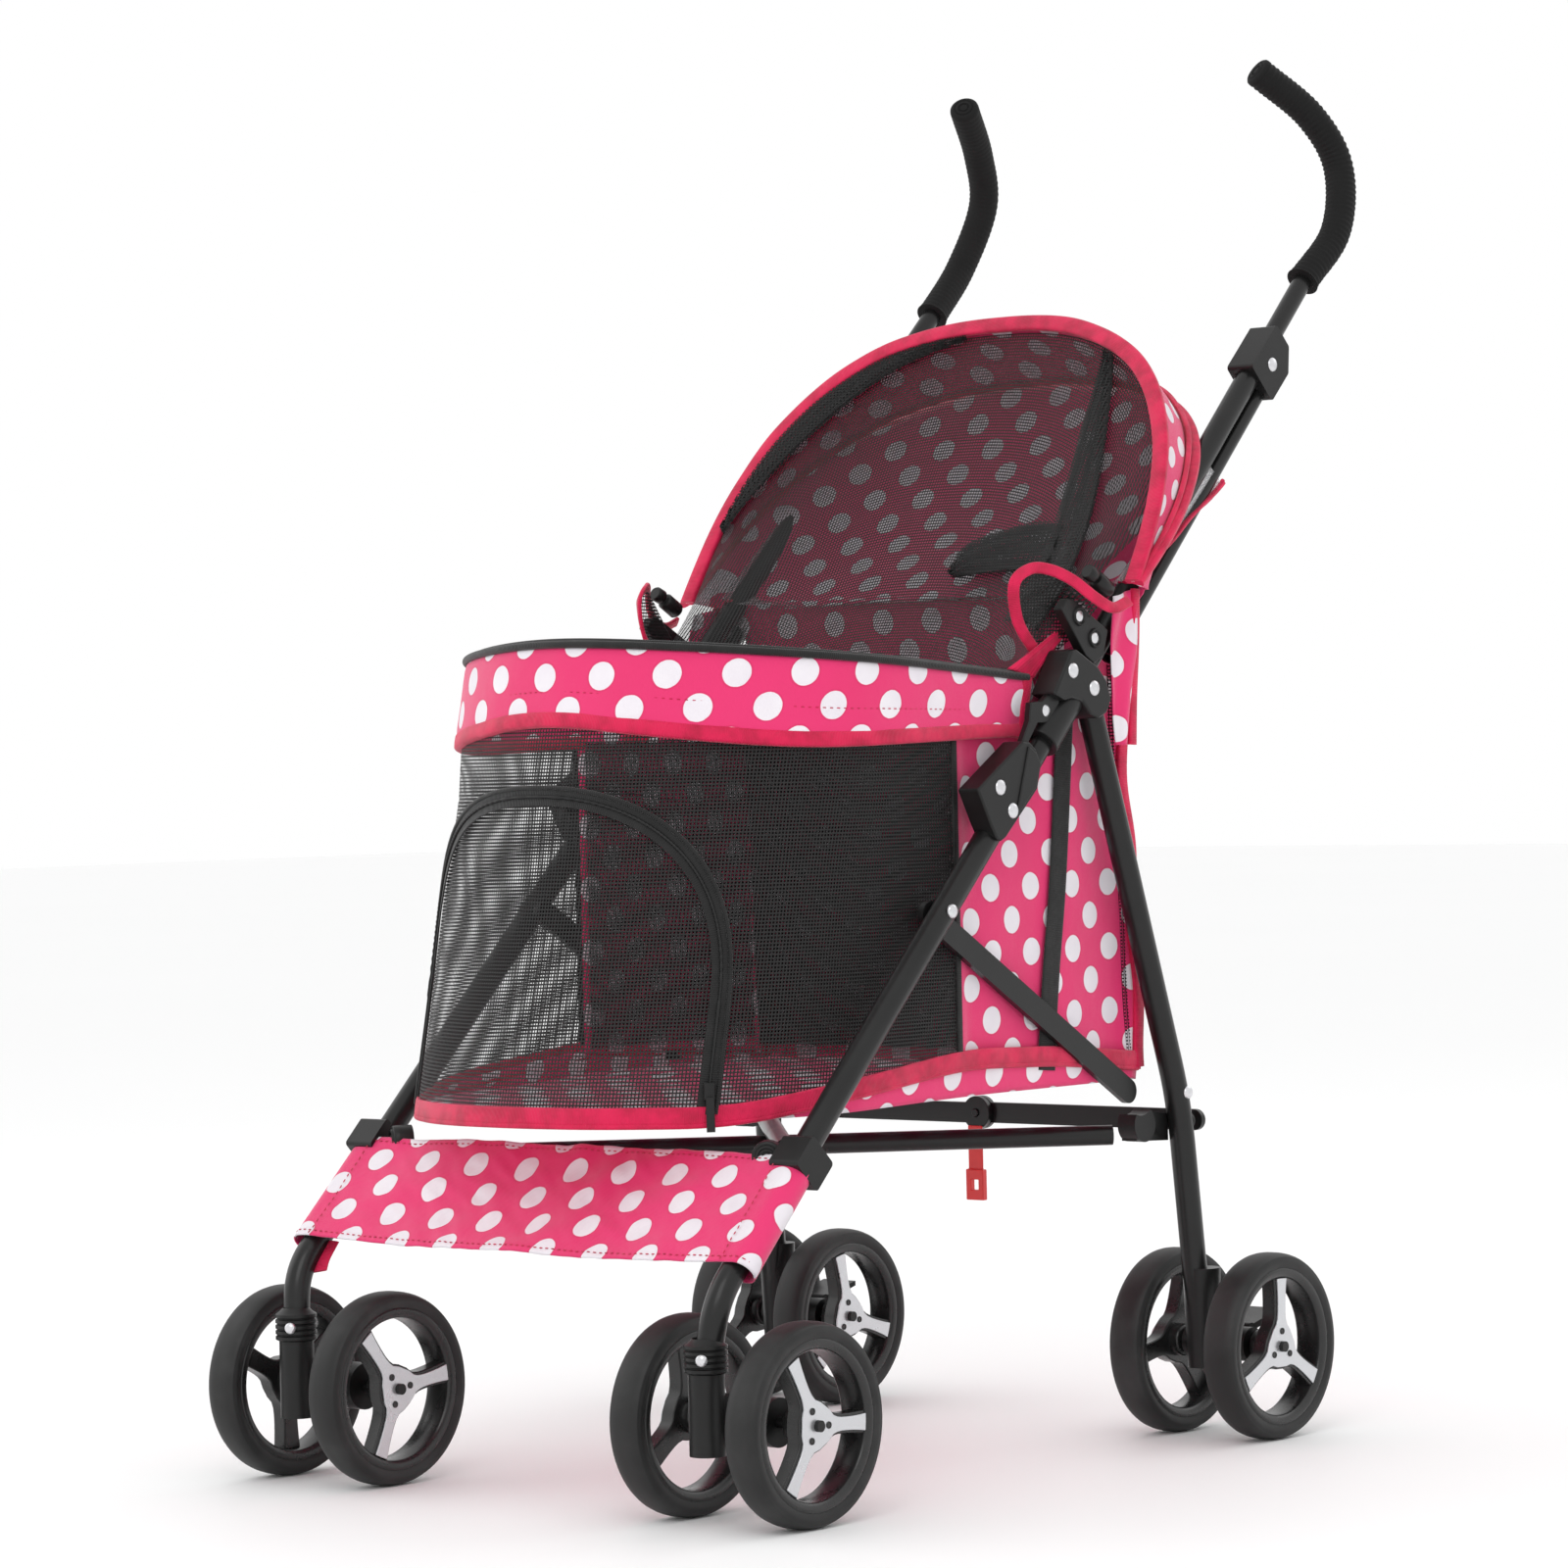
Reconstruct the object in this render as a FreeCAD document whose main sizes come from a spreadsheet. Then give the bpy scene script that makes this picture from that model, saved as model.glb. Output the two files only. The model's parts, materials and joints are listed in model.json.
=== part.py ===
# Folding pet stroller: umbrella-style frame with four pairs of twin wheels, a soft cabin and a hood.
# Frame: +X is the right-hand side, -Y is forward, +Z is up. The origin is on the floor, under the middle.
import FreeCAD, Part
import math
import os

import Sketcher
from FreeCAD import Placement, Rotation, Vector

SIZES = {
    # wheels
    "wheel_dia": 140.0,
    "tyre_width": 27.0,
    "tyre_round": 9.0,
    "rim_dia": 116.0,
    "rim_bore": 102.0,
    "rim_width": 23.0,
    "hub_dia": 24.0,
    "hub_length": 26.0,
    "spoke_width": 13.0,
    "spoke_thick": 6.0,
    "trim_thick": 1.6,
    "axle_dia": 8.0,
    "axle_play": 0.05,
    "front_track": 396.0,
    "rear_track": 422.0,
    "front_twin": 104.0,
    "rear_twin": 87.0,
    "front_axle_ahead": 355.5,
    "rear_axle_behind": 179.3,
    "caster_trail": 40.0,
    # tubes
    "leg_dia": 19.0,
    "tube_wall": 1.5,
    "handle_dia": 18.0,
    "upper_dia": 15.0,
    "strut_dia": 12.0,
    "link_width": 18.0,
    "link_thick": 5.0,
    "link_front_y": -135.0,
    "link_rear_y": 96.0,
    "link_rear_z": 265.0,
    "link_play": 1.6,
    "bar_dia": 15.0,
    "brace_height": 16.0,
    "brace_thick": 5.0,
    "grip_dia": 25.0,
    "grip_cap": 4.0,
    # the straight line of each front leg and handle
    "line_low_x": 206.9,
    "line_low_y": -300.0,
    "line_low_z": 243.0,
    "line_high_x": 187.0,
    "line_high_y": 350.0,
    "line_high_z": 885.0,
    # caster parts
    "collar_gap": 0.4,
    "collar_dia": 30.0,
    "collar_low_z": 106.0,
    "collar_tall": 20.0,
    "housing_dia": 25.0,
    "housing_low_z": 50.0,
    "carrier_dia": 34.0,
    "carrier_length": 60.0,
    # moulded joints: how far each reaches inside and outside the line
    "knuckle_y": -60.0,
    "knuckle_inner": 13.0,
    "knuckle_outer": 14.0,
    "casting_y": 28.0,
    "casting_inner": 11.0,
    "casting_outer": 14.0,
    "bracket_y": 39.0,
    "bracket_half": 6.0,
    "clamp_y": 287.0,
    "clamp_half": 12.0,
    "strut_below": 17.0,
    "strut_low_y": 62.0,
    "strut_high_y": 276.0,
    "pivot_dia": 8.0,
    "pivot_proud": 4.0,
    "rivet_dia": 9.0,
    "rivet_rise": 1.8,
    # rear leg
    "rear_top_y": 46.0,
    "rear_top_z": 562.0,
    "rear_bend_y": 138.0,
    "rear_bend_z": 255.0,
    "rear_foot_y": 154.0,
    "rear_foot_z": 62.0,
    "socket_dia": 29.0,
    "socket_tall": 75.0,
    # under-seat parts
    "bar_middle_y": -95.0,
    "bar_reach_x": 176.0,
    "bar_reach_y": 188.0,
    "bar_low_z": 232.0,
    "bar_gap": 1.0,
    "brace_y": 156.0,
    "brace_z": 240.0,
    "brace_gap": 0.4,
    "brace_eye": 13.0,
    "brace_pin_dia": 6.0,
    "tab_width": 17.0,
    "tab_tall": 24.0,
    "tab_thick": 5.0,
    "tab_strap": 14.0,
    # fabric
    "cabin_half": 185.0,
    "cabin_wall": 1.6,
    "cabin_low_z": 270.0,
    "cabin_high_z": 604.0,
    "cabin_low_front": -388.0,
    "cabin_high_front": -319.0,
    "cabin_low_rear": 118.0,
    "cabin_high_rear": 100.0,
    "seam_y": -97.0,
    "rim_end_y": -21.0,
    "rim_end_z": 574.0,
    "band_tall_front": 55.0,
    "band_tall_end": 41.0,
    "floor_thick": 6.0,
    "door_half": 143.0,
    "door_top_z": 496.0,
    "fabric_gap": 0.6,
    "hood_y": 71.0,
    "hood_z": 641.0,
    "hood_tilt": 31.0,
    "hood_half": 222.0,
    "hood_tall": 247.0,
    "hood_lift": 4.6,
    "hood_band_angle": 14.0,
    "hood_wall": 1.2,
    "hood_squareness": 2.5,
    "foot_top_z": 227.0,
    "foot_low_z": 166.0,
    "foot_thick": 2.0,
}

doc = FreeCAD.newDocument("pet_stroller")
sheet = doc.addObject("Spreadsheet::Sheet", "Sizes")
for row, (alias, number) in enumerate(SIZES.items(), start=1):
    sheet.set(f"A{row}", alias)
    sheet.set(f"B{row}", str(number))
    sheet.setAlias(f"B{row}", alias)
doc.recompute()

nodes = {}


def size(alias):
    return float(sheet.get(alias))


def bind(item, **expressions):
    for name, expression in expressions.items():
        item.setExpression(name, expression)
    return item


def node(label, item):
    item.Label = label
    nodes[label] = item
    return item


def feature(label, shape):
    """A sub-part whose outline no primitive gives."""
    item = doc.addObject("Part::Feature", label)
    item.Shape = shape
    item.Placement = shape.Placement
    return node(label, item)


# Shape helpers.
def cylinder(radius, start, end):
    start, end = Vector(start), Vector(end)
    return Part.makeCylinder(radius, (end - start).Length, start, end - start)


def along_x(radius, centre, length):
    half = Vector(length / 2, 0, 0)
    return cylinder(radius, Vector(centre) - half, Vector(centre) + half)


def sweep(path, radius):
    edges = path.Edges
    start = edges[0].valueAt(edges[0].FirstParameter)
    tangent = edges[0].tangentAt(edges[0].FirstParameter)
    ring = Part.Wire(Part.makeCircle(radius, start, tangent))
    return path.makePipeShell([ring], True, True)


def bent_path(start, corner, end, radius):
    """Two straight runs joined by a tangent arc."""
    start, corner, end = Vector(start), Vector(corner), Vector(end)
    back = (start - corner).normalize()
    ahead = (end - corner).normalize()
    half_turn = (math.pi - back.getAngle(ahead)) / 2
    setback = radius * math.tan(half_turn)
    first = corner + back * setback
    last = corner + ahead * setback
    inward = (back + ahead).normalize()
    middle = corner + inward * (radius / math.cos(half_turn) - radius)
    return Part.Wire([
        Part.LineSegment(start, first).toShape(),
        Part.Arc(first, middle, last).toShape(),
        Part.LineSegment(last, end).toShape(),
    ])


def prism_x(points, low_x, high_x):
    """A (y, z) outline pushed along X."""
    corners = [Vector(low_x, y, z) for y, z in points]
    face = Part.Face(Part.makePolygon(corners + corners[:1]))
    return face.extrude(Vector(high_x - low_x, 0, 0))


def rounded_x(points, low_x, high_x, radius):
    """The same, with the corners that run along X rounded."""
    block = prism_x(points, low_x, high_x)
    edges = [e for e in block.Edges if abs(abs(e.tangentAt(e.FirstParameter).x) - 1) < 1e-6]
    return block.makeFillet(radius, edges)


def mirrored(shape):
    return shape.mirror(Vector(0, 0, 0), Vector(1, 0, 0))


def both_sides(name, shape):
    feature("right_" + name, shape)
    feature("left_" + name, mirrored(shape))


# Wheels.
def tyre_body(label):
    """Ring of rubber, turned about X."""
    body = doc.addObject("PartDesign::Body", label)
    plane = [f for f in body.Origin.OriginFeatures if f.Role == "XY_Plane"][0]
    sketch = body.newObject("Sketcher::SketchObject", label + "_section")
    sketch.AttachmentSupport = [(plane, "")]
    sketch.MapMode = "FlatFace"
    half = size("tyre_width") / 2
    inner = size("rim_dia") / 2
    outer = size("wheel_dia") / 2
    corners = [(-half, inner), (half, inner), (half, outer), (-half, outer)]
    for k in range(4):
        a, b = corners[k], corners[(k + 1) % 4]
        sketch.addGeometry(Part.LineSegment(Vector(*a, 0), Vector(*b, 0)))
    add = sketch.addConstraint
    for k in range(4):
        add(Sketcher.Constraint("Coincident", k, 2, (k + 1) % 4, 1))
        add(Sketcher.Constraint("Horizontal" if k % 2 == 0 else "Vertical", k))
    add(Sketcher.Constraint("DistanceX", 0, 1, 0, 2, 2 * half))
    sketch.setExpression(f"Constraints[{sketch.ConstraintCount - 1}]", "Sizes.tyre_width")
    add(Sketcher.Constraint("DistanceX", -1, 1, 0, 2, half))
    sketch.setExpression(f"Constraints[{sketch.ConstraintCount - 1}]", "Sizes.tyre_width / 2")
    add(Sketcher.Constraint("DistanceY", -1, 1, 0, 2, inner))
    sketch.setExpression(f"Constraints[{sketch.ConstraintCount - 1}]", "Sizes.rim_dia / 2")
    add(Sketcher.Constraint("DistanceY", -1, 1, 2, 1, outer))
    sketch.setExpression(f"Constraints[{sketch.ConstraintCount - 1}]", "Sizes.wheel_dia / 2")
    ring = body.newObject("PartDesign::Revolution", label + "_ring")
    ring.Profile = sketch
    ring.ReferenceAxis = (sketch, ["H_Axis"])
    ring.Angle = 360.0
    doc.recompute()
    rims = [
        f"Edge{k}" for k, edge in enumerate(ring.Shape.Edges, start=1)
        if isinstance(edge.Curve, Part.Circle) and abs(edge.Curve.Radius - outer) < 1e-3
    ]
    tread = body.newObject("PartDesign::Fillet", label + "_shoulders")
    tread.Base = (ring, rims)
    tread.setExpression("Radius", "Sizes.tyre_round")
    return body


def x_cylinder(label, radius, length, offset=0.0):
    """A primitive cylinder along X, centred at x = offset."""
    item = bind(doc.addObject("Part::Cylinder", label), Radius=radius, Height=length)
    doc.recompute()
    item.Placement = Placement(Vector(offset - item.Height.Value / 2, 0, 0), Rotation(Vector(0, 1, 0), 90))
    return item


def rim_parts(label, outward):
    """Black rim with three spokes, and the bright three-armed trim on its outward face."""
    barrel_outer = x_cylinder(label + "_bead", "Sizes.rim_dia / 2", "Sizes.rim_width")
    barrel_inner = x_cylinder(label + "_well", "Sizes.rim_bore / 2", "Sizes.rim_width + 2")
    barrel = doc.addObject("Part::Cut", label + "_barrel")
    barrel.Base, barrel.Tool = barrel_outer, barrel_inner
    hub = x_cylinder(label + "_hub", "Sizes.hub_dia / 2", "Sizes.hub_length")
    pieces = [barrel, hub]
    face = outward * (size("rim_width") / 2 - size("trim_thick") - 3.0)
    trims = []
    for k in range(3):
        turn = Rotation(Vector(1, 0, 0), 120.0 * k)
        for kind, thick, wide in (("spoke", "Sizes.spoke_thick", 1.0), ("trim", "Sizes.trim_thick", 0.6)):
            arm = bind(
                doc.addObject("Part::Box", f"{label}_{kind}{k}"),
                Length=thick,
                Width=f"Sizes.spoke_width * {wide}",
                Height="Sizes.rim_bore / 2 + 1" if kind == "spoke" else "Sizes.rim_bore / 2 - 3",
            )
            doc.recompute()
            start = face if kind == "trim" else face - outward * arm.Length.Value
            low = start if outward > 0 else start - arm.Length.Value
            corner = Vector(low, -arm.Width.Value / 2, 0)
            arm.Placement = Placement(turn.multVec(corner), turn)
            (pieces if kind == "spoke" else trims).append(arm)
    return pieces, trims


def make_wheel(label, centre, outward):
    tyre = tyre_body(label + "_tyre")
    pieces, trims = rim_parts(label + "_rim", outward)
    solid = doc.addObject("Part::MultiFuse", label + "_rim_solid")
    solid.Shapes = pieces
    bore = x_cylinder(label + "_bore", "Sizes.axle_dia / 2 + Sizes.axle_play", "Sizes.hub_length + 4")
    drilled = doc.addObject("Part::Cut", label + "_rim_drilled")
    drilled.Base, drilled.Tool = solid, bore
    trim = doc.addObject("Part::MultiFuse", label + "_trim")
    trim.Shapes = trims
    socket = x_cylinder(label + "_trim_hole", "Sizes.hub_dia / 2", "Sizes.hub_length + 4")
    trim_cut = doc.addObject("Part::Cut", label + "_trim_cut")
    trim_cut.Base, trim_cut.Tool = trim, socket
    rim = doc.addObject("Part::Compound", label + "_rim")
    rim.Links = [drilled, trim_cut]
    doc.recompute()
    for item, name in ((tyre, "_tyre"), (rim, "_rim")):
        item.Placement = Placement(Vector(centre), Rotation())
        node(label + name, item)


def make_wheels():
    radius = size("wheel_dia") / 2
    for side, sign in (("left", -1), ("right", 1)):
        for end, track, twin, y in (
            ("front", "front_track", "front_twin", -size("front_axle_ahead")),
            ("rear", "rear_track", "rear_twin", size("rear_axle_behind")),
        ):
            for place, outward in (("inner", -sign), ("outer", sign)):
                x = sign * size(track) / 2 + outward * size(twin) / 2
                make_wheel(f"{side}_{end}_{place}", (x, y, radius), outward)


# The straight line of leg and handle.
low = Vector(size("line_low_x"), size("line_low_y"), size("line_low_z"))
high = Vector(size("line_high_x"), size("line_high_y"), size("line_high_z"))
slope = (high - low).normalize()
pitch = math.atan2(slope.z, slope.y)


def on_line(y, above=0.0):
    """The point of the line at this y, moved square to it in the side plane."""
    point = low + slope * ((y - low.y) / slope.y)
    return point + Vector(0, -math.sin(pitch), math.cos(pitch)) * above


def plate(y, points, inner, outer, radius):
    """A plate in the side plane: points are (along, above) from the line's point at y.

    Its inner and outer faces lie inner and outer mm from the line, towards the middle and away."""
    base = on_line(y)
    outline = [
        (
            base.y + along * math.cos(pitch) - above * math.sin(pitch),
            base.z + along * math.sin(pitch) + above * math.cos(pitch),
        )
        for along, above in points
    ]
    return rounded_x(outline, base.x - inner, base.x + outer, radius)


def tube(path_or_ends, radius):
    """Hollow tube along a wire or between two points."""
    wall = size("tube_wall")
    if isinstance(path_or_ends, Part.Wire):
        return sweep(path_or_ends, radius).cut(sweep(path_or_ends, radius - wall))
    start, end = path_or_ends
    return cylinder(radius, start, end).cut(cylinder(radius - wall, start, end))


# Outlines of the moulded joints, as (along, above) from the line's point at the joint.
KNUCKLE = [(-52, -16), (-44, 14), (-34, 27), (34, 27), (58, 8), (50, -16)]
CASTING = [(-24, 16), (28, 16), (28, -2), (18, -30), (-2, -34), (-16, -12), (-24, -12)]
HOOD_BRACKET = [(-10, 16), (66, 16), (66, 32), (44, 48), (6, 48), (-10, 32)]
CLAMP = [(-26, -24), (-26, 13), (22, 13), (22, -10), (6, -24)]
LEG_TOP_Y = -78.0
HANDLE_FOOT_Y = -38.0
caster_x = size("front_track") / 2
caster_y = -(size("front_axle_ahead") + size("caster_trail"))
leg_r = size("leg_dia") / 2
handle_r = size("handle_dia") / 2
upper_r = size("upper_dia") / 2


def rear_leg_points():
    top = Vector(on_line(size("rear_top_y")).x, size("rear_top_y"), size("rear_top_z"))
    foot = Vector(size("rear_track") / 2, size("rear_foot_y"), size("rear_foot_z"))
    share = (top.z - size("rear_bend_z")) / (top.z - foot.z)
    bend = Vector(top.x + (foot.x - top.x) * share, size("rear_bend_y"), size("rear_bend_z"))
    return top, bend, foot


def rear_leg_path():
    return bent_path(*rear_leg_points(), 300.0)


def front_leg_path():
    foot = Vector(caster_x, caster_y, size("collar_low_z") + 2.0)
    corner = on_line(caster_y + 7.0)
    corner.x = caster_x + 5.0
    return bent_path(on_line(LEG_TOP_Y), corner, foot, 55.0)


def grip_path(stop_short=0.0):
    """Curve of the handle's top: on along the line, then up and forward over the hand."""
    points = [
        on_line(size("line_high_y")),
        on_line(size("line_high_y")) + Vector(3.0, 43.0, 42.0),
        Vector(180.0, 413.0, 980.0),
        Vector(168.0, 393.0, 1020.0),
        Vector(148.6, 351.0, 1053.0),
    ]
    curve = Part.BSplineCurve()
    curve.interpolate(points)
    edge = curve.toShape()
    if stop_short:
        keep = edge.getParameterByLength(edge.Length - stop_short)
        edge = curve.toShape(curve.FirstParameter, keep)
    return Part.Wire([edge])


def make_side_tubes():
    leg = sweep(front_leg_path(), leg_r)
    hollow_leg = tube(front_leg_path(), leg_r)
    both_sides("front_leg", hollow_leg)
    foot, clamp, top = on_line(HANDLE_FOOT_Y), on_line(size("clamp_y")), on_line(size("line_high_y"))
    sleeve = tube((foot, clamp), handle_r)
    stem = tube((clamp - slope * 60.0, top), upper_r)
    crook = sweep(grip_path(size("grip_cap")), upper_r)
    ring = cylinder(handle_r - size("tube_wall"), clamp - slope * 60.0, clamp).cut(
        cylinder(upper_r, clamp - slope * 60.0, clamp))
    handle = sleeve.fuse([ring, stem, crook])
    both_sides("handle_tube", handle)
    grip = sweep(grip_path(), size("grip_dia") / 2)
    both_sides("grip", grip.cut(sweep(grip_path(size("grip_cap")), upper_r)))
    rear = sweep(rear_leg_path(), leg_r)
    both_sides("rear_leg", tube(rear_leg_path(), leg_r))
    envelope = cylinder(handle_r, foot, clamp)
    return leg, envelope, rear


def make_joint_castings(leg, handle, rear):
    """Fold knuckle, upper casting, upper clamp and lock strut of the right side, mirrored to the left."""
    knuckle = plate(size("knuckle_y"), KNUCKLE, size("knuckle_inner"), size("knuckle_outer"), 3.0)
    both_sides("knuckle", knuckle.cut(leg).cut(handle))
    casting = plate(size("casting_y"), CASTING, size("casting_inner"), size("casting_outer"), 4.0)
    casting = casting.cut(handle).cut(rear)
    bracket_half = size("bracket_half")
    bracket = plate(size("bracket_y"), HOOD_BRACKET, bracket_half, bracket_half, 3.0)
    pivot_end = Vector(size("hood_half") + size("pivot_proud"), size("hood_y"), size("hood_z"))
    pivot_start = Vector(on_line(size("bracket_y")).x, size("hood_y"), size("hood_z"))
    pivot = cylinder(size("pivot_dia") / 2, pivot_start, pivot_end)
    both_sides("casting", casting.fuse([bracket, pivot]).removeSplitter())
    clamp_at = on_line(size("clamp_y"))
    stem = cylinder(upper_r, clamp_at, clamp_at + slope * 40.0)
    clamp = plate(size("clamp_y"), CLAMP, size("clamp_half"), size("clamp_half"), 3.0)
    strut_low = on_line(size("strut_low_y"), -size("strut_below"))
    strut_high = on_line(size("strut_high_y"), -size("strut_below"))
    strut = tube((strut_low, strut_high), size("strut_dia") / 2)
    bore = cylinder(size("strut_dia") / 2, strut_low, strut_high)
    both_sides("clamp", clamp.cut(handle).cut(stem).cut(bore))
    both_sides("lock_strut", strut.cut(casting).cut(rear).cut(handle))


def make_side_link():
    """Flat bar from the front leg down to the rear leg, on the inner side of both."""
    front = on_line(size("link_front_y"))
    back = Vector(front.x, size("link_rear_y"), size("link_rear_z"))
    inner = front.x - leg_r - size("link_thick") - size("link_play")
    start = Vector(inner, front.y, front.z)
    end = Vector(inner, back.y, back.z)
    run = end - start
    square = Vector(0, -run.z, run.y).normalize() * (size("link_width") / 2)
    corners = [start + square, end + square, end - square, start - square]
    bar = prism_x([(c.y, c.z) for c in corners], inner, inner + size("link_thick"))
    for place in (start, end):
        eye = Part.makeCylinder(size("link_width") / 2, size("link_thick"), place, Vector(1, 0, 0))
        bar = bar.fuse(eye)
    both_sides("side_link", bar.removeSplitter())
    return end


def make_brackets(link_end, leg, rear):
    """Brackets for the cross bars, low on the front leg and at the rear leg, and the brace's pivot post."""
    grip_ring = plate(-302.0, [(-13, -15), (-13, 15), (13, 15), (13, -15)], 14.0, 12.0, 3.0)
    grip_ring = grip_ring.cut(leg)
    seat = Part.makeCylinder(13.0, 16.0, Vector(link_end.x, 100.0, 240.0), Vector(1, 0, 0))
    arm = prism_x([(92, 228), (92, 252), (134, 246), (134, 226)], link_end.x, link_end.x + 12.0)
    rear_bracket = seat.fuse(arm).cut(rear).removeSplitter()
    link = Part.makeCylinder(size("link_width"), 30.0, link_end - Vector(10, 0, 0), Vector(1, 0, 0))
    rear_bracket = rear_bracket.cut(link)
    post_x = rear_leg_points()[1].x
    face_y = size("brace_y") - size("brace_thick") - size("brace_gap") - 0.3
    post_end = Vector(post_x, face_y, size("brace_z"))
    post = cylinder(6.0, post_end - Vector(0, 14.0, 0), post_end).cut(rear)
    both_sides("seat_bracket", Part.makeCompound([grip_ring, rear_bracket, post]))


def dome(centre, radius, rise):
    """Rivet head on a face whose normal is +X."""
    ball_r = (radius ** 2 + rise ** 2) / (2 * rise)
    ball = Part.makeSphere(ball_r, Vector(centre) - Vector(ball_r - rise, 0, 0))
    return ball.common(Part.makeCylinder(radius, rise, Vector(centre), Vector(1, 0, 0)))


def make_rivets():
    """Heads that show on the outer faces of the knuckle and the casting."""
    heads = []
    for y, above, at, outer in (
        (-60.0, 16.0, "knuckle_y", "knuckle_outer"),
        (-56.0, -2.0, "knuckle_y", "knuckle_outer"),
        (24.0, 10.0, "casting_y", "casting_outer"),
        (43.0, -12.0, "casting_y", "casting_outer"),
    ):
        spot = on_line(y, above)
        face_x = on_line(size(at)).x + size(outer)
        heads.append(dome((face_x, spot.y, spot.z), size("rivet_dia") / 2, size("rivet_rise")))
    both_sides("rivets", Part.makeCompound(heads))


# Feet of the legs.
def make_caster(leg):
    """Swivel caster under the front leg: fixed collar, then the turning body with its axle."""
    low_z = size("collar_low_z")
    seat = Vector(caster_x, caster_y, low_z)
    collar = cylinder(size("collar_dia") / 2, seat, seat + Vector(0, 0, size("collar_tall")))
    lug = along_x(7.0, (caster_x + 14.0, caster_y - 6.0, low_z + size("collar_tall") / 2), 18.0)
    collar = collar.fuse(lug).cut(leg)
    both_sides("caster_collar", collar.removeSplitter())
    axle_y, axle_z = -size("front_axle_ahead"), size("wheel_dia") / 2
    housing_low = Vector(caster_x, caster_y, size("housing_low_z"))
    housing = cylinder(size("housing_dia") / 2, housing_low, seat - Vector(0, 0, size("collar_gap")))
    carrier = along_x(size("carrier_dia") / 2, (caster_x, axle_y, axle_z), size("carrier_length"))
    outline = [(caster_y, 56), (caster_y, 92), (axle_y, 84), (axle_y, 56)]
    web = prism_x(outline, caster_x - 11.0, caster_x + 11.0)
    body = housing.fuse([carrier, web]).removeSplitter()
    reach = size("front_twin") + size("hub_length") + 4.0
    pin = along_x(size("axle_dia") / 2, (caster_x, axle_y, axle_z), reach)
    both_sides("caster_body", body.fuse(pin).removeSplitter())


def make_rear_foot(rear):
    """Tapered socket on the rear leg, its axle, and the brake pedal behind."""
    foot_x, foot_y = size("rear_track") / 2, size("rear_foot_y")
    axle_y, axle_z = size("rear_axle_behind"), size("wheel_dia") / 2
    top_r = size("socket_dia") / 2
    low_z = size("rear_foot_z") - 8.0
    cone_foot = Vector(foot_x, foot_y + 0.5, low_z)
    cone = Part.makeCone(top_r - 3.0, top_r, size("socket_tall"), cone_foot, Vector(0, 0, 1))
    boss = along_x(13.0, (foot_x, axle_y, axle_z), size("rear_twin") - size("hub_length") - 4.0)
    web = prism_x([(foot_y, 58), (foot_y, 92), (axle_y, 82), (axle_y, 58)], foot_x - 9.0, foot_x + 9.0)
    socket = cone.fuse([boss, web]).cut(rear)
    reach = size("rear_twin") + size("hub_length") + 4.0
    pin = along_x(size("axle_dia") / 2, (foot_x, axle_y, axle_z), reach)
    both_sides("rear_socket", socket.fuse(pin).removeSplitter())
    hinge = Vector(foot_x, axle_y + 15.0, axle_z + 10.0)
    barrel = along_x(4.5, hinge, 34.0)
    tip_y = hinge.y + 38.0
    outline = [(hinge.y, hinge.z - 2.5), (tip_y, hinge.z + 8.0), (tip_y, hinge.z + 12.0), (hinge.y, hinge.z + 3.0)]
    pad = prism_x(outline, foot_x - 17.0, foot_x + 17.0)
    both_sides("brake_pedal", barrel.fuse(pad).removeSplitter())


# Under the seat.
def make_cross_bars():
    """Two bars crossing under the seat on one vertical pin."""
    radius = size("bar_dia") / 2
    middle_y = size("bar_middle_y")
    reach = Vector(size("bar_reach_x"), size("bar_reach_y"), 0)
    for name, sign, z in (
        ("left_front_bar", 1, size("bar_low_z")),
        ("right_front_bar", -1, size("bar_low_z") + size("bar_dia") + size("bar_gap")),
    ):
        along = Vector(sign * reach.x, reach.y, 0)
        centre = Vector(0, middle_y, z)
        bar = cylinder(radius, centre - along, centre + along)
        bar = bar.cut(cylinder(4.05, (0, middle_y, z - 20), (0, middle_y, z + 20)))
        if sign > 0:
            top = size("bar_low_z") + size("bar_dia") * 1.5 + size("bar_gap") + 3.0
            pin = cylinder(4.0, (0, middle_y, z - radius - 3.0), (0, middle_y, top))
            bar = Part.makeCompound([bar, pin])
        feature(name, bar)


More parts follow.
